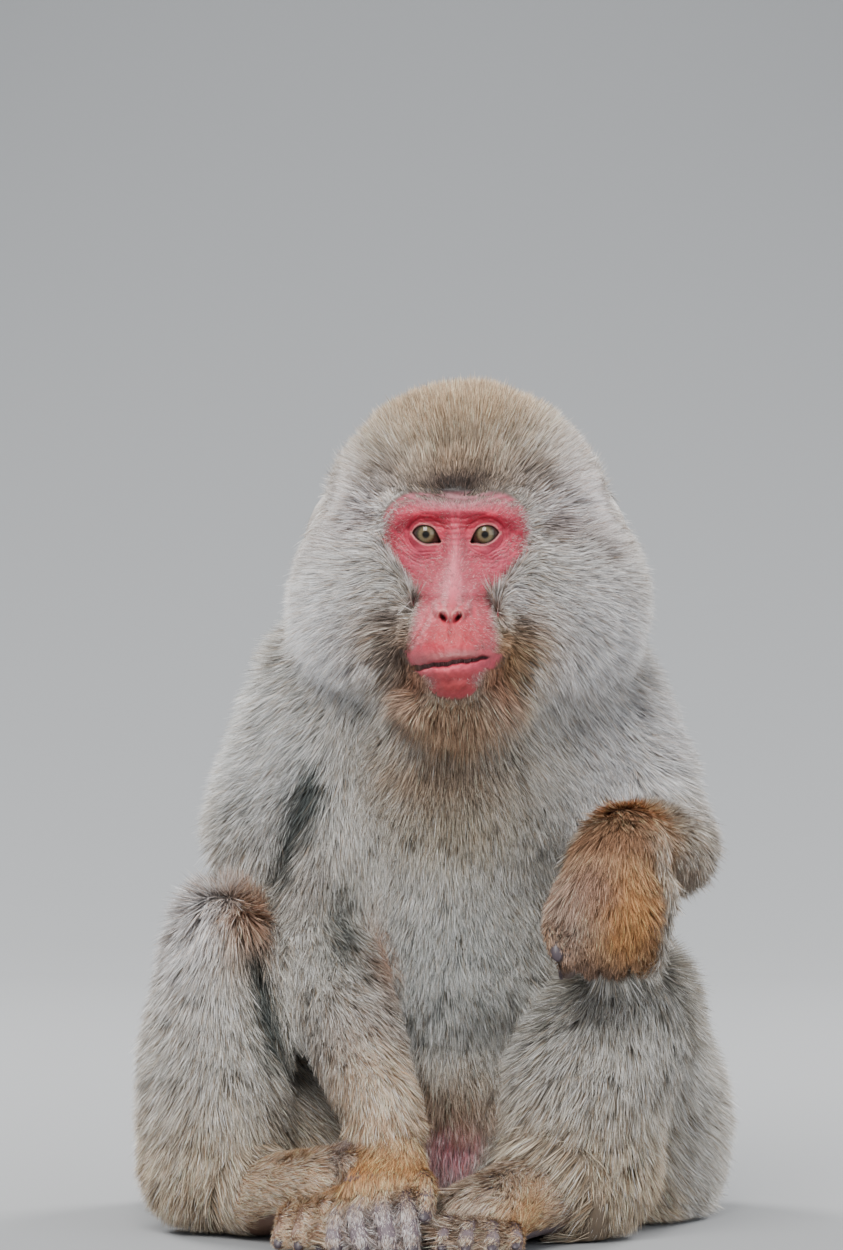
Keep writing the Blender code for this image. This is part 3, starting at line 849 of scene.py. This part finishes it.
coatLength = {"head": 26, "neck": 32, "chest": 28, "belly": 26, "hips": 32, "tail": 24, "upper_arm": 30,
              "forearm": 24, "thigh": 28, "shin": 26, "hand": 16, "foot": 16}
length = sum(share[n] * coatLength[plainName(n)] for n in names)
length = 7 + (length - 7) * step(facePast, -1, 30)
crown = step(spots[:, 2], 432, 462) * share["head"]
length = length * (1 - 0.36 * crown)
toTip = np.full(len(spots), 60.0)
for name, spec in paws.items():
    for points in spec["digits"]:
        d = np.linalg.norm(spots - np.array(points[-1], float), axis=1)
        toTip = np.where(share[name] > 0.4, np.minimum(toTip, d), toTip)
length = np.where(pawShare > 0.4, length * (0.34 + 0.66 * step(toTip, 14, 42)), length)
height = height * (1 - 0.45 * share["left_hand"])

# creases where the arm lies against the body and the leg; the coat is lower and shorter there, and its hair
# is darkened further on as painted shade
creases = [((-62, 290), (-72, 262), (-88, 226)), ((-54, 224), (-58, 200), (-58, 176)),
           ((-112, 182), (-104, 152), (-98, 122))]
crease = np.zeros(len(spots))
for line, deep in zip(creases, (1.0, 0.6, 1.0)):
    for a, b in zip(line, line[1:]):
        a, b = np.array(a, float), np.array(b, float)
        xz = spots[:, [0, 2]]
        t = np.clip((xz - a) @ (b - a) / ((b - a) @ (b - a)), 0, 1)[:, None]
        d = np.linalg.norm(xz - a - t * (b - a), axis=1)
        crease = np.maximum(crease, deep * hill(d, 6) * step(-spots[:, 1], -10, 20))
crease = evened(crease, pairs, 3)
height = height * (1 - 0.55 * crease)
length = length * (1 - 0.35 * crease)
kneeTop = np.maximum(blob(spots, (-128, -70, 200), (50, 80, 36)), blob(spots, (121, -90, 160), (50, 80, 36)))
kneeTop = kneeTop * (1 - pawShare)
length = np.maximum(length, height * (1.35 + 0.6 * kneeTop - 0.18 * crown))

# how thickly it grows
density = np.ones(len(spots))
density *= step(facePast, -2.5, 0.5)
footShare = share["right_foot"] + share["left_foot"]
density *= step(toTip + 2.0 * footShare, 4.2, 7.2)
under = step(-facing[:, 2], 0.45, 0.8) * pawShare
density *= 1 - under
crotch = blob(spots, (16, -60, 58), (22, 90, 17)) * (share["hips"] + share["belly"])
density *= 1 - 0.75 * step(crotch, 0.3, 0.65)
length = length * (1 - 0.45 * step(crotch, 0.2, 0.6))
earNear = np.maximum(*[blob(spots, c, (14, 18, 22)) for c in earCentres.values()])
density *= 1 - step(earNear, 0.5, 0.8) * 0.6

# colours, tip first: (colour, centre, spread, strength)
paint = [
    ((168, 148, 124), (15, -30, 500), (80, 90, 42), 1.0),
    ((150, 124, 100), (15, -95, 470), (46, 30, 16), 0.9),
    ((196, 190, 182), (-52, -50, 478), (22, 60, 22), 0.7),
    ((196, 190, 184), (82, -50, 478), (22, 60, 22), 0.7),
    ((240, 235, 242), (-54, -70, 440), (26, 60, 28), 0.95),
    ((218, 210, 214), (88, -70, 440), (26, 60, 28), 0.9),
    ((232, 234, 240), (-56, -70, 372), (36, 60, 34), 0.9),
    ((206, 206, 210), (88, -70, 372), (36, 60, 34), 0.9),
    ((150, 132, 118), (-31, -100, 366), (14, 30, 24), 0.95),
    ((160, 132, 108), (62, -100, 362), (14, 24, 20), 0.85),
    ((158, 114, 74), (52, -104, 352), (7, 20, 11), 0.6),
    ((128, 108, 92), (-13, -110, 346), (9, 40, 26), 0.9),
    ((156, 122, 88), (46, -110, 346), (9, 40, 24), 0.9),
    ((206, 194, 200), (50, -104, 386), (8, 20, 9), 0.8),
    ((176, 144, 118), (15, -100, 318), (30, 40, 15), 0.9),
    ((146, 106, 86), (-8, -110, 342), (8, 40, 16), 0.85),
    ((150, 108, 86), (38, -110, 342), (8, 40, 16), 0.85),
    ((122, 96, 74), (4, -90, 290), (40, 60, 18), 0.85),
    ((150, 136, 116), (15, -70, 258), (34, 60, 20), 0.7),
    ((226, 230, 232), (-92, 0, 300), (36, 80, 50), 0.9),
    ((220, 222, 228), (112, 0, 300), (36, 80, 50), 0.9),
    ((150, 144, 138), (-74, -30, 232), (20, 60, 34), 0.6),
    ((186, 192, 192), (12, -60, 165), (60, 60, 60), 0.7),
    ((152, 128, 106), (6, -60, 84), (50, 60, 24), 0.9),
    ((166, 152, 144), (-44, -90, 118), (26, 60, 36), 0.7),
    ((158, 116, 94), (-34, -60, 182), (9, 40, 24), 0.8),
    ((204, 194, 188), (-132, -60, 208), (26, 60, 20), 0.8),
    ((210, 208, 210), (-146, -60, 196), (20, 60, 40), 0.7),
    ((184, 144, 120), (-108, -90, 198), (11, 50, 24), 0.8),
    ((176, 146, 120), (126, -110, 240), (26, 40, 26), 0.8),
    ((178, 134, 100), (118, -130, 262), (30, 30, 9), 0.85),
    ((170, 146, 128), (146, -40, 226), (22, 40, 22), 0.6),
    ((150, 138, 122), (0, 120, 320), (130, 70, 220), 0.85),
    ((255, 150, 166), (16, -60, 58), (20, 90, 18), 1.0, share["hips"] + share["belly"]),
    ((216, 192, 168), (-34, -122, 104), (26, 40, 24), 0.85),
    ((208, 174, 144), (-30, -134, 80), (26, 40, 14), 0.7),
]


def painted(colours, marks):
    # lays each mark's colour round its centre, only where its last value says if it has one
    for colour, centre, spread, strength, *where in marks:
        near = np.clip(blob(spots, centre, spread) * strength * 1.35, 0, strength)
        colours = tinted(colours, colour, near * where[0] if where else near)
    return colours


tipColour = painted(np.tile([184.0, 180, 172], (len(spots), 1)), paint)
pawPaint = {"right_hand": (204, 166, 130), "left_hand": (158, 126, 98), "right_foot": (226, 192, 162),
            "left_foot": (194, 172, 154)}
for n, colour in pawPaint.items():
    tipColour = tinted(tipColour, colour, step(share[n], 0.2, 0.9))
pawMarks = {
    "right_hand": [((196, 186, 188), (-30, -210, 22), (44, 22, 18), 0.9),
                   ((176, 116, 62), (-32, -170, 52), (30, 14, 10), 0.7)],
    "left_hand": [((166, 144, 130), (82, -170, 206), (14, 40, 34), 0.9),
                  ((180, 128, 78), (118, -180, 208), (13, 40, 28), 0.75),
                  ((96, 76, 64), (94, -165, 170), (22, 30, 9), 0.9),
                  ((132, 100, 78), (112, -150, 250), (22, 30, 5), 0.7),
                  ((140, 112, 100), (100, -180, 226), (12, 40, 14), 0.6)],
    "right_foot": [((160, 150, 152), (-50, -150, 56), (14, 20, 12), 0.9)],
    "left_foot": [((196, 146, 98), (62, -160, 24), (16, 60, 20), 0.7)],
}
for n, marks in pawMarks.items():
    tipColour = painted(tipColour, [(*mark, step(share[n], 0.2, 0.8)) for mark in marks])
lowLegs = step(-spots[:, 2], -120, -40) * (share["right_shin"] + share["left_shin"])
tipColour = tinted(tipColour, (182, 162, 138), 0.8 * lowLegs)

# dark hair over the brow; spots and streaks behind the eyes and beside the muzzle, part dark hair and part
# painted shade in the hollows round the face; the creases are darkened as painted shade
dark = 0.42 * step(50 - np.abs(faceX), 0, 12) + 0.72 * hill(faceX, 17)
dark = hill(faceZ - 28, 7) * dark * onHead
# these spots and the streaks below are part dark hair, part painted shade where the face meets the coat
darkSpots = [(-32, -48, 6, 0.55), (34, -53, 6, 0.55), (-31, -68, 6, 0.5), (-50, 10, 6, 0.45),
             (52, 4, 6, 0.55), (44, 22, 9, 0.3), (-44, 22, 9, 0.3)]
for sx, sz, size, strength in darkSpots:
    dark = np.maximum(dark, strength * hill(faceX - sx, size, faceZ - sz, size) * onHead)
for side in (-1, 1):
    for t in np.linspace(0, 1, 5):
        at = np.array([side * (50 + 26 * t), 8 - 22 * t])
        near = 0.42 * hill(faceX - at[0], 7, faceZ - at[1], 5)
        dark = np.maximum(dark, near * onHead * step(facePast, 2, 9))
dark = dark * step(faceReached, -62, -30)
tipColour = tinted(tipColour, (46, 35, 30), 0.97 * np.clip(dark, 0, 1))
# painted shade: the hair in the creases is darkened to a dark blue-grey
tipColour = tinted(tipColour, (40, 47, 47), 0.95 * crease)
tipColour = srgb(*tipColour.T).T
# painted shade within the coat: the roots are much darker than the tips, and darker still in the creases
rootColour = tipColour * np.array([0.40, 0.36, 0.32]) * (1 - 0.4 * crease)[:, None]
# less of this painted shade at the roots by the crotch, over the knees and on the crown
paleRoots = np.maximum.reduce([step(crotch, 0.15, 0.5), 0.85 * step(kneeTop, 0.1, 0.6), 0.5 * crown])
rootColour = tinted(rootColour, 0.85 * tipColour, paleRoots)


# the coat
mesh.calc_loop_triangles()
tri = np.empty(len(mesh.loop_triangles) * 3, np.int32)
mesh.loop_triangles.foreach_get("vertices", tri)
tri = tri.reshape(-1, 3)
corner = spots[tri]
area = 0.5 * np.linalg.norm(np.cross(corner[:, 1] - corner[:, 0], corner[:, 2] - corner[:, 0]), axis=1)
triShare = {n: share[n][tri].mean(1) for n in names}
triCentre = corner.mean(1)
print("skin area cm2", {n: int((area * triShare[n]).sum() / 100) for n in names})


def softNoise(p, size, phase):
    q = p / size
    return (np.sin(q[:, 0] * 1.7 + 1.9 * np.sin(q[:, 1] * 1.3 + phase) + phase)
            + np.sin(q[:, 1] * 1.9 + 1.7 * np.sin(q[:, 2] * 1.1 + 2 * phase) + 1.3 * phase)
            + np.sin(q[:, 2] * 1.6 + 1.8 * np.sin(q[:, 0] * 1.2 - phase) - phase)) / 3


def strands(name, chosen, count, look):
    # one coat piece: tapering blades rooted on the chosen triangles of the skin
    fronting = step(-facing[tri[chosen], 1].mean(1), -0.2, 0.6)
    amount = area[chosen] * density[tri[chosen]].mean(1) * (1 + look["toFront"] * fronting)
    total = np.cumsum(amount)
    picks = (np.arange(count) + dice.random(count)) / count * total[-1]
    t = chosen[np.minimum(np.searchsorted(total, picks), len(chosen) - 1)]
    r1, r2 = np.sqrt(dice.random(count)), dice.random(count)
    bary = np.stack([1 - r1, r1 * (1 - r2), r1 * r2], -1)[..., None]

    def at(field):
        values = field[tri[t]]
        return np.sum(values * (bary if values.ndim == 3 else bary[..., 0]), 1)

    keep = dice.random(count) < np.clip(at(density) * 1.6, 0, 1)
    t, bary = t[keep], bary[keep]
    root, normal, along = at(spots), unit(at(facing)), at(flow)
    long, tall = at(length), at(height)
    n = len(root)

    # low, slow waves in the lie of the coat, shared by neighbours
    guides = np.nonzero(dice.random(n) < look["guides"])[0]
    guideTurn = dice.normal(0, look["guideTurn"], len(guides))
    guideLong = dice.normal(1, 0.10, len(guides))
    tree = KDTree(len(guides))
    for k, g in enumerate(guides):
        tree.insert(root[g], k)
    tree.balance()
    mine = np.array([tree.find(p)[1] for p in root], int)
    turn = (look["wave"] * softNoise(root, 17, 0.7) + 0.5 * look["wave"] * softNoise(root, 7, 2.1)
            + guideTurn[mine] + dice.normal(0, look["turn"], n))
    beside = unit(np.cross(normal, along))
    along = along * np.cos(turn)[:, None] + beside * np.sin(turn)[:, None]
    long = long * np.clip(guideLong[mine] * dice.normal(1, 0.13, n), 0.55, 1.45)
    rise = np.clip(tall * np.clip(dice.normal(1.0, 0.13, n), 0.4, 1.25), 0.3, long * 0.94)
    run = np.sqrt(np.maximum(long ** 2 - rise ** 2, (0.35 * long) ** 2))
    start = root - normal * 0.6
    tip = root + normal * rise[:, None] + along * run[:, None]
    pull = look["clump"] * dice.random(n)[:, None]
    tip = tip + (tip[guides[mine]] - tip) * pull
    tip = tip + dice.normal(0, look["stray"], (n, 3))

    # no tip passes the outline, apart from a few loose hairs
    isLoose = dice.random(n) < look["loose"]
    loose = np.where(isLoose, dice.uniform(0, look["looseReach"], n), dice.uniform(-1.2, look["over"], n))
    if "overRoot" in look:
        for i, p in enumerate(toModel(root)):
            near = outlineTree.find_nearest(p)
            loose[i] = max(loose[i], (Vector(p) - near[0]).dot(near[1]) / mm + look["overRoot"])
    here = toModel(tip)
    for i in range(n):
        near = outlineTree.find_nearest(here[i])
        gap = (Vector(here[i]) - near[0]).dot(near[1]) / mm - loose[i]
        if gap > 0:
            tip[i] -= np.array(near[1]) * gap
    tip[:, 2] = np.maximum(tip[:, 2], 0.6 + dice.random(n) * 2)

    # blades
    width = look["width"] * dice.uniform(0.75, 1.25, n)
    flat = unit(np.cross(tip - start, normal))
    twist = dice.normal(0, 0.55, n)
    across = flat * np.cos(twist)[:, None] + unit(np.cross(tip - start, flat)) * np.sin(twist)[:, None]
    half = across * (width / 2)[:, None]
    co = np.stack([start - half, start + half, tip], 1).astype(np.float32)
    co = toModel(co.reshape(-1, 3).astype(float)).astype(np.float32)
    mesh = bpy.data.meshes.new(name)
    mesh.vertices.add(n * 3)
    mesh.vertices.foreach_set("co", co.ravel())
    mesh.loops.add(n * 3)
    mesh.loops.foreach_set("vertex_index", np.arange(n * 3, dtype=np.int32))
    mesh.polygons.add(n)
    mesh.polygons.foreach_set("loop_start", np.arange(0, n * 3, 3, dtype=np.int32))
    mesh.update(calc_edges=True)
    mesh.polygons.foreach_set("use_smooth", np.ones(n, bool))

    # colour from root to tip, the dark root being painted shade within the coat
    low, high = at(rootColour), at(tipColour)
    shade = np.exp(dice.normal(-0.02, look["vary"], n)) * (1 + 0.12 * softNoise(root, 11, 1.1))
    shade = np.clip(shade, 0.35, 2.0)[:, None]
    kind = dice.random(n)
    warm = np.where((kind < 0.20)[:, None], np.array([0.52, 0.42, 0.33]), 1.0)
    bright = np.where((kind > 0.74)[:, None], 1.55, 1.0)
    high = np.clip(high * shade * warm * bright, 0, 0.95)
    low = low * shade
    base = low + (high - low) * look["shade"]
    colour = np.stack([base, base, np.clip(high * 1.22, 0, 0.97)], 1).astype(np.float32)
    pointColours(mesh, "coatColour", colour.reshape(-1, 3))

    # every tuft keeps one small patch, at its root's place on the unrolled skin
    u, v = look["unroll"](root)
    uv = np.stack([u, v], -1)[:, None] + np.array([(-1, 0), (1, 0), (0, 1)]) * 0.0014
    mesh.uv_layers.new(name="OFBake")
    mesh.uv_layers["OFBake"].data.foreach_set("uv", uv.astype(np.float32).ravel())
    print(name, n, "tufts, one triangle each")
    return newObject(name, mesh)


def roundAxis(a, b):
    # unrolls a place round the line from a to b
    a, b = np.array(a, float), np.array(b, float)
    axis = (b - a) / np.linalg.norm(b - a)
    one = unit(np.cross(axis, np.array([0.31, 0.92, 0.21])))
    two = np.cross(axis, one)

    def unroll(p):
        r = p - a
        u = 0.5 + np.arctan2(r @ two, r @ one) / (2 * math.pi)
        v = 0.5 + 0.9 * ((r @ axis) / np.linalg.norm(b - a) - 0.5)
        return 0.01 + 0.98 * u, np.clip(v, 0.01, 0.99)
    return unroll


# one settings dictionary for each kind of hair; lengths and widths in millimetres
longHair = {
    "shade": 0.0, "toFront": 0.5, "guides": 0.015, "guideTurn": 0.13, "wave": 0.20, "turn": 0.14,
    "clump": 0.42, "stray": 1.0, "loose": 0.18, "looseReach": 7.0, "over": 2.6, "width": 0.97, "vary": 0.56,
}
shortHair = {
    **longHair, "shade": 0.1, "guides": 0.05, "clump": 0.45, "stray": 0.4,
    "loose": 0.12, "looseReach": 2.5, "over": 0.6, "overRoot": 1.8, "width": 0.6,
}
fuzz = {
    **longHair, "shade": 0.7, "toFront": 0, "clump": 0.2, "stray": 0.2,
    "loose": 1.0, "looseReach": 1.5, "width": 0.24, "vary": 0.6, "turn": 0.5,
}
headUnroll = roundAxis((20, -10, 300), (20, -10, 520))
trunkUnroll = roundAxis((10, 40, 0), (10, 20, 420))
coatPieces = []


def grow(name, mask, count, look, unroll):
    chosen = np.nonzero(mask & (density[tri].mean(1) > 0.02))[0]
    if not len(chosen):
        return
    coatPieces.append(strands(name, chosen, count, {**look, "unroll": unroll}))


label = np.array(names)[np.argmax(np.stack([triShare[n] for n in names], -1), 1)]
head = label == "head"
up = triCentre[:, 2] > 432
trunk = np.isin(label, ["neck", "chest", "belly", "hips", "tail"])
frontOf = triCentre[:, 1] < 10
crownHair = {**longHair, "width": 0.86, "clump": 0.3, "stray": 1.3}
grow("coat_crown", head & up, 112000, crownHair, headUnroll)
grow("coat_cheeks", head & ~up, 138000, {**longHair, "width": 0.84}, headUnroll)
grow("coat_front", trunk & frontOf, 128000, longHair, trunkUnroll)
grow("coat_back", trunk & ~frontOf, 96000, {**longHair, "width": 1.16}, trunkUnroll)
for side in sides:
    arm = np.isin(label, [f"{side}_upper_arm", f"{side}_forearm"])
    leg = np.isin(label, [f"{side}_thigh", f"{side}_shin"])
    shoulder, elbow = bones[f"{side}_upper_arm"]
    knee, heel = bones[f"{side}_shin"]
    grow(f"coat_{side}_arm", arm, 66000, {**longHair, "width": 0.92}, roundAxis(elbow, shoulder))
    grow(f"coat_{side}_leg", leg, 122000, longHair, roundAxis(heel, knee))
    paw = np.isin(label, [f"{side}_hand", f"{side}_foot"])
    grow(f"coat_{side}_paws", paw, 55000, shortHair, roundAxis((0, -220, 30), (0, -80, 30)))


# short fine hair on the bare face
coatTip, coatRoot = tipColour, rootColour
onBare = (faceReached > -30) & (past < 3) & (onHead > 0.3)
eyeAway = np.hypot(np.abs(faceX) - face["eyeSpacing"] / 2, faceZ)
mouthGap = faceZ - mouthLine(faceX)
nostrilAway = np.hypot(np.abs(faceX + 1.3) - face["nostrilOut"], faceZ - face["nostrilHeight"])
lipAbove = hill(mouthGap - 4, 3.6) * mouthPart(faceX, 1.5, 9, 31)
density = onBare * step(eyeAway, 11, 13.5) * (0.5 + 2.6 * lipAbove + 0.9 * step(past, -9, 0))
density *= np.maximum(step(mouthGap, 1.2, 2.0), step(-mouthGap, 3.0, 5.0)) * step(nostrilAway, 2.5, 4)
length = 2.6 + 1.6 * lipAbove + 4.0 * step(past, -7, 1)
height = 0.30 * length
tipColour = np.tile([0.36, 0.20, 0.20], (len(spots), 1))
tipColour = tinted(tipColour, 0.9 * coatTip, step(past, -7, -1))
tipColour = tipColour * (1 - 0.75 * lipAbove[:, None])
# the fuzz roots are darker, as painted shade
rootColour = tipColour * 0.7
grow("coat_face", np.ones(len(tri), bool), 45000, fuzz, headUnroll)


print("materials")


def newMaterial(name, values, colours=None):
    # colours names the mesh's own layer of colours, where the material takes them from there
    material = bpy.data.materials.new(name)
    material.use_nodes = True
    nodes, links = material.node_tree.nodes, material.node_tree.links
    shader = nodes["Principled BSDF"]
    for socket, value in values.items():
        shader.inputs[socket].default_value = value
    if colours:
        mark = nodes.new("ShaderNodeAttribute")
        mark.attribute_name = colours
        links.new(mark.outputs["Color"], shader.inputs["Base Color"])
    return material


coatMaterial = newMaterial("coat", {"Roughness": 0.62, "Specular IOR Level": 0.25}, "coatColour")
for piece in coatPieces:
    piece.data.materials.append(coatMaterial)

skinMaterial = newMaterial("skin", {"Roughness": 0.42}, "skinColour")
nodes, links = skinMaterial.node_tree.nodes, skinMaterial.node_tree.links
place = nodes.new("ShaderNodeTexCoord")
grain = nodes.new("ShaderNodeTexNoise")
grain.inputs["Scale"].default_value = 520
grain.inputs["Detail"].default_value = 4
pores = nodes.new("ShaderNodeTexVoronoi")
pores.inputs["Scale"].default_value = 1600
both = nodes.new("ShaderNodeMath")
both.operation = "ADD"
raised = nodes.new("ShaderNodeBump")
raised.inputs["Strength"].default_value = 0.5
raised.inputs["Distance"].default_value = 0.0004
for texture, socket, slot in ((grain, "Fac", 0), (pores, "Distance", 1)):
    links.new(place.outputs["Object"], texture.inputs["Vector"])
    links.new(texture.outputs[socket], both.inputs[slot])
links.new(both.outputs["Value"], raised.inputs["Height"])
links.new(raised.outputs["Normal"], nodes["Principled BSDF"].inputs["Normal"])
skin.data.materials.clear()
skin.data.materials.append(skinMaterial)

eyes.data.materials.append(newMaterial("eye", {
    "Roughness": 0.06, "Specular IOR Level": 0.3, "Coat Weight": 0.25, "Coat Roughness": 0.02}, "eyeColour"))
nails.data.materials.append(newMaterial("nail", {"Base Color": (*srgb(66, 56, 62), 1), "Roughness": 0.42}))

# bare skin
x, z = faceX, faceZ
ax = np.abs(x)
across = ax - face["eyeSpacing"] / 2
# the skin under the coat takes the dark root colour, painted shade between the hairs
skinColour = coatRoot * 0.9
facePaint = [
    ((184, 30, 54), (20, 10), (15, 6), 0.8),
    ((190, 58, 80), (22, -6), (13, 8), 0.4),
    # the pale patch under each eye is painted light that lifts the shading under the lower lid
    ((210, 100, 116), (18, -10), (9, 3.6), 0.5),
    ((180, 34, 56), (8, 5), (7, 7), 0.55),
    ((184, 40, 66), (37, 2), (8, 14), 0.7),
    ((170, 112, 118), (0, 21), (36, 5), 0.85),
    ((126, 98, 100), (0, 29), (44, 6), 0.95),
    ((220, 122, 134), (0, -22), (6, 17), 0.9),
    ((200, 78, 102), (24, -16), (10, 7), 0.6),
    ((190, 48, 58), (0, -60), (26, 13), 0.9),
    ((168, 62, 60), (0, -89), (20, 7), 0.8),
    ((204, 84, 88), (0, -82), (22, 3), 0.6),
    ((168, 104, 98), (0, -71), (26, 3), 0.6),
    ((196, 78, 86), (0, -45), (12, 7), 0.7),
]
red = np.tile([192.0, 72, 90], (len(faceSpots), 1))
for colour, centre, spread, strength in facePaint:
    red = tinted(red, colour, strength * hill(ax - centre[0], spread[0], z - centre[1], spread[1]))
red = srgb(*red.T).T
mottle = 0.92 + 0.10 * softNoise(faceSpots, 3.1, 0.4) + 0.09 * softNoise(faceSpots, 1.3, 1.9)
# painted shade and light from the skin's curvature: darker and redder in hollows, lighter on ridges
bulgeShade = np.sum((spots - evened(spots, pairs, 5)) * facing, -1)
bulgeShade = np.clip(bulgeShade / 0.16, -1, 1)
red = red * (mottle * (1 + 0.16 * bulgeShade))[:, None]
red = red * (1 - 0.10 * np.clip(-bulgeShade, 0, 1)[:, None] * np.array([0, 1, 1]))
onFace = 1 - step(facePast, 0, 3.5)
skinColour = tinted(skinColour, red, onFace)
upperEdge, lowerEdge = lidEdges(across)
lidGap = np.maximum(z - upperEdge, lowerEdge - z)
lidGap = np.where(np.abs(across) < face["opening"] + 1, lidGap, 9)
nearEye = (onFace > 0.5) & (np.hypot(across, z) < 14)
rim = hill(lidGap - 0.5, 0.55) * nearEye
# painted shade: the skin darkens to a deep red along the fold over the lid, less below the eye
fold = hill(lidGap - 2.2, 0.6) * nearEye * (0.25 + 0.75 * step(z, -1, 2))
# the skin at and inside the lid edges is nearly black: partly the dark lash line, partly painted shade of the
# gap round the eyeball
inLid = step(-lidGap, -0.25, 0.2) * nearEye

shift = leaned(x, z)
line = mouthLine(shift)
# painted shade: the slit between the lips is nearly black
mouthGapShade = hill(z - line, 1.2) * mouthPart(x, 1.28, 5) * onFace * (faceReached > 20)
overLip = step(z - line, 0, 3) * step(line + 9 - z, 0, 5) * mouthPart(x, 1.5, 12, 32) * onFace
# painted shade: the nostril openings are darkened
nostril = hill(np.abs(shift) - face["nostrilOut"], 2.0, z - face["nostrilHeight"], 2.4)
nostril = nostril * onFace * (faceReached < 36)
# painted highlight: pale colour along the rolled rim over each nostril
rolledRimHighlight = nostrilRim(np.abs(shift), z) * onFace * (faceReached > 30)
pawSkin = {"right_hand": (104, 90, 96), "left_hand": (84, 70, 66), "right_foot": (124, 94, 78),
           "left_foot": (112, 98, 102)}
earSkin = np.maximum(*[blob(spots, c, (16, 20, 24)) for c in earCentres.values()])
skinMarks = [
    ((200, 136, 128), 0.75 * rim), ((120, 30, 44), 0.5 * fold), ((40, 20, 20), 0.95 * inLid),
    ((118, 78, 76), 0.5 * overLip), ((30, 18, 18), 0.95 * mouthGapShade), ((50, 24, 26), 0.9 * nostril),
    ((232, 158, 150), 0.6 * rolledRimHighlight),
    *[(colour, step(share[n], 0.4, 0.9)) for n, colour in pawSkin.items()],
    ((138, 98, 92), step(earSkin, 0.35, 0.6)), ((222, 96, 112), step(crotch, 0.15, 0.5)),
]
for colour, strength in skinMarks:
    skinColour = tinted(skinColour, srgb(*colour), strength)
pointColours(skin.data, "skinColour", np.clip(skinColour, 0, 1))

for piece in [skin, eyes, nails] + coatPieces:
    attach(piece, "root")
flesh = [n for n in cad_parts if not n.endswith("_eye")]
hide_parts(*flesh)
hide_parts("left_eye", "right_eye")
bpy.data.objects.remove(outline)


# camera, floor and light
print("stage")
view = {"target": (-0.007, -0.166, 0.370), "away": 4.5, "elevation": 2.5, "lens": 216}
camera = bpy.data.cameras.new("camera")
camera.lens = view["lens"]
camera.sensor_width = 36
cameraObject = newObject("camera", camera)
rise = math.radians(view["elevation"])
looking = Vector((0, math.cos(rise), -math.sin(rise)))
cameraObject.location = Vector(view["target"]) - looking * view["away"]
cameraObject.rotation_euler = looking.to_track_quat("-Z", "Y").to_euler()
bpy.context.scene.camera = cameraObject

made = bmesh.new()
bmesh.ops.create_grid(made, x_segments=1, y_segments=1, size=6)
floor = placed("floor", made)
made = bmesh.new()
bmesh.ops.create_grid(made, x_segments=1, y_segments=24, size=1)
for v in made.verts:
    t = (v.co.y + 1) / 2
    turn = min(t * 2, 1) * math.pi / 2
    up = 1.2 * (1 - math.cos(turn)) + max(t * 2 - 1, 0) * 4
    v.co = (v.co.x * 6, 1.6 + 1.2 * math.sin(turn), up - 0.001)
backdrop = placed("backdrop", made)
backdrop.data.shade_smooth()
stageMaterial = newMaterial("backdrop", {"Base Color": (*srgb(140, 142, 144), 1), "Roughness": 0.9})
# the back of the backdrop is clear, so that it hides nothing in a view from behind
nodes, links = stageMaterial.node_tree.nodes, stageMaterial.node_tree.links
whichSide = nodes.new("ShaderNodeNewGeometry")
clear = nodes.new("ShaderNodeBsdfTransparent")
mixed = nodes.new("ShaderNodeMixShader")
links.new(whichSide.outputs["Backfacing"], mixed.inputs[0])
links.new(nodes["Principled BSDF"].outputs["BSDF"], mixed.inputs[1])
links.new(clear.outputs["BSDF"], mixed.inputs[2])
links.new(mixed.outputs["Shader"], nodes["Material Output"].inputs["Surface"])
for piece in (floor, backdrop):
    piece.data.materials.append(stageMaterial)

world = bpy.data.worlds.new("world")
bpy.context.scene.world = world
world.use_nodes = True
sky = world.node_tree.nodes["Background"].inputs
sky["Color"].default_value = (0.90, 0.94, 1.0, 1)
sky["Strength"].default_value = 0.75


def areaLight(name, place, aim, size, power, colour):
    light = bpy.data.lights.new(name, "AREA")
    light.energy = power
    light.size = size
    light.color = colour
    obj = newObject(name, light)
    obj.location = place
    obj.rotation_euler = (Vector(aim) - Vector(place)).to_track_quat("-Z", "Y").to_euler()


areaLight("key", (-0.5, -2.0, 2.4), (0, -0.1, 0.3), 1.3, 104, (1.0, 0.975, 0.94))
areaLight("fill", (1.9, -1.8, 1.0), (0, -0.1, 0.25), 1.8, 22, (0.95, 0.97, 1.0))
areaLight("rimLeft", (1.5, 1.3, 1.5), (0, 0, 0.3), 0.9, 80, (1.0, 0.98, 0.96))
areaLight("rimRight", (-1.5, 1.3, 1.5), (0, 0, 0.3), 0.9, 80, (1.0, 0.98, 0.96))
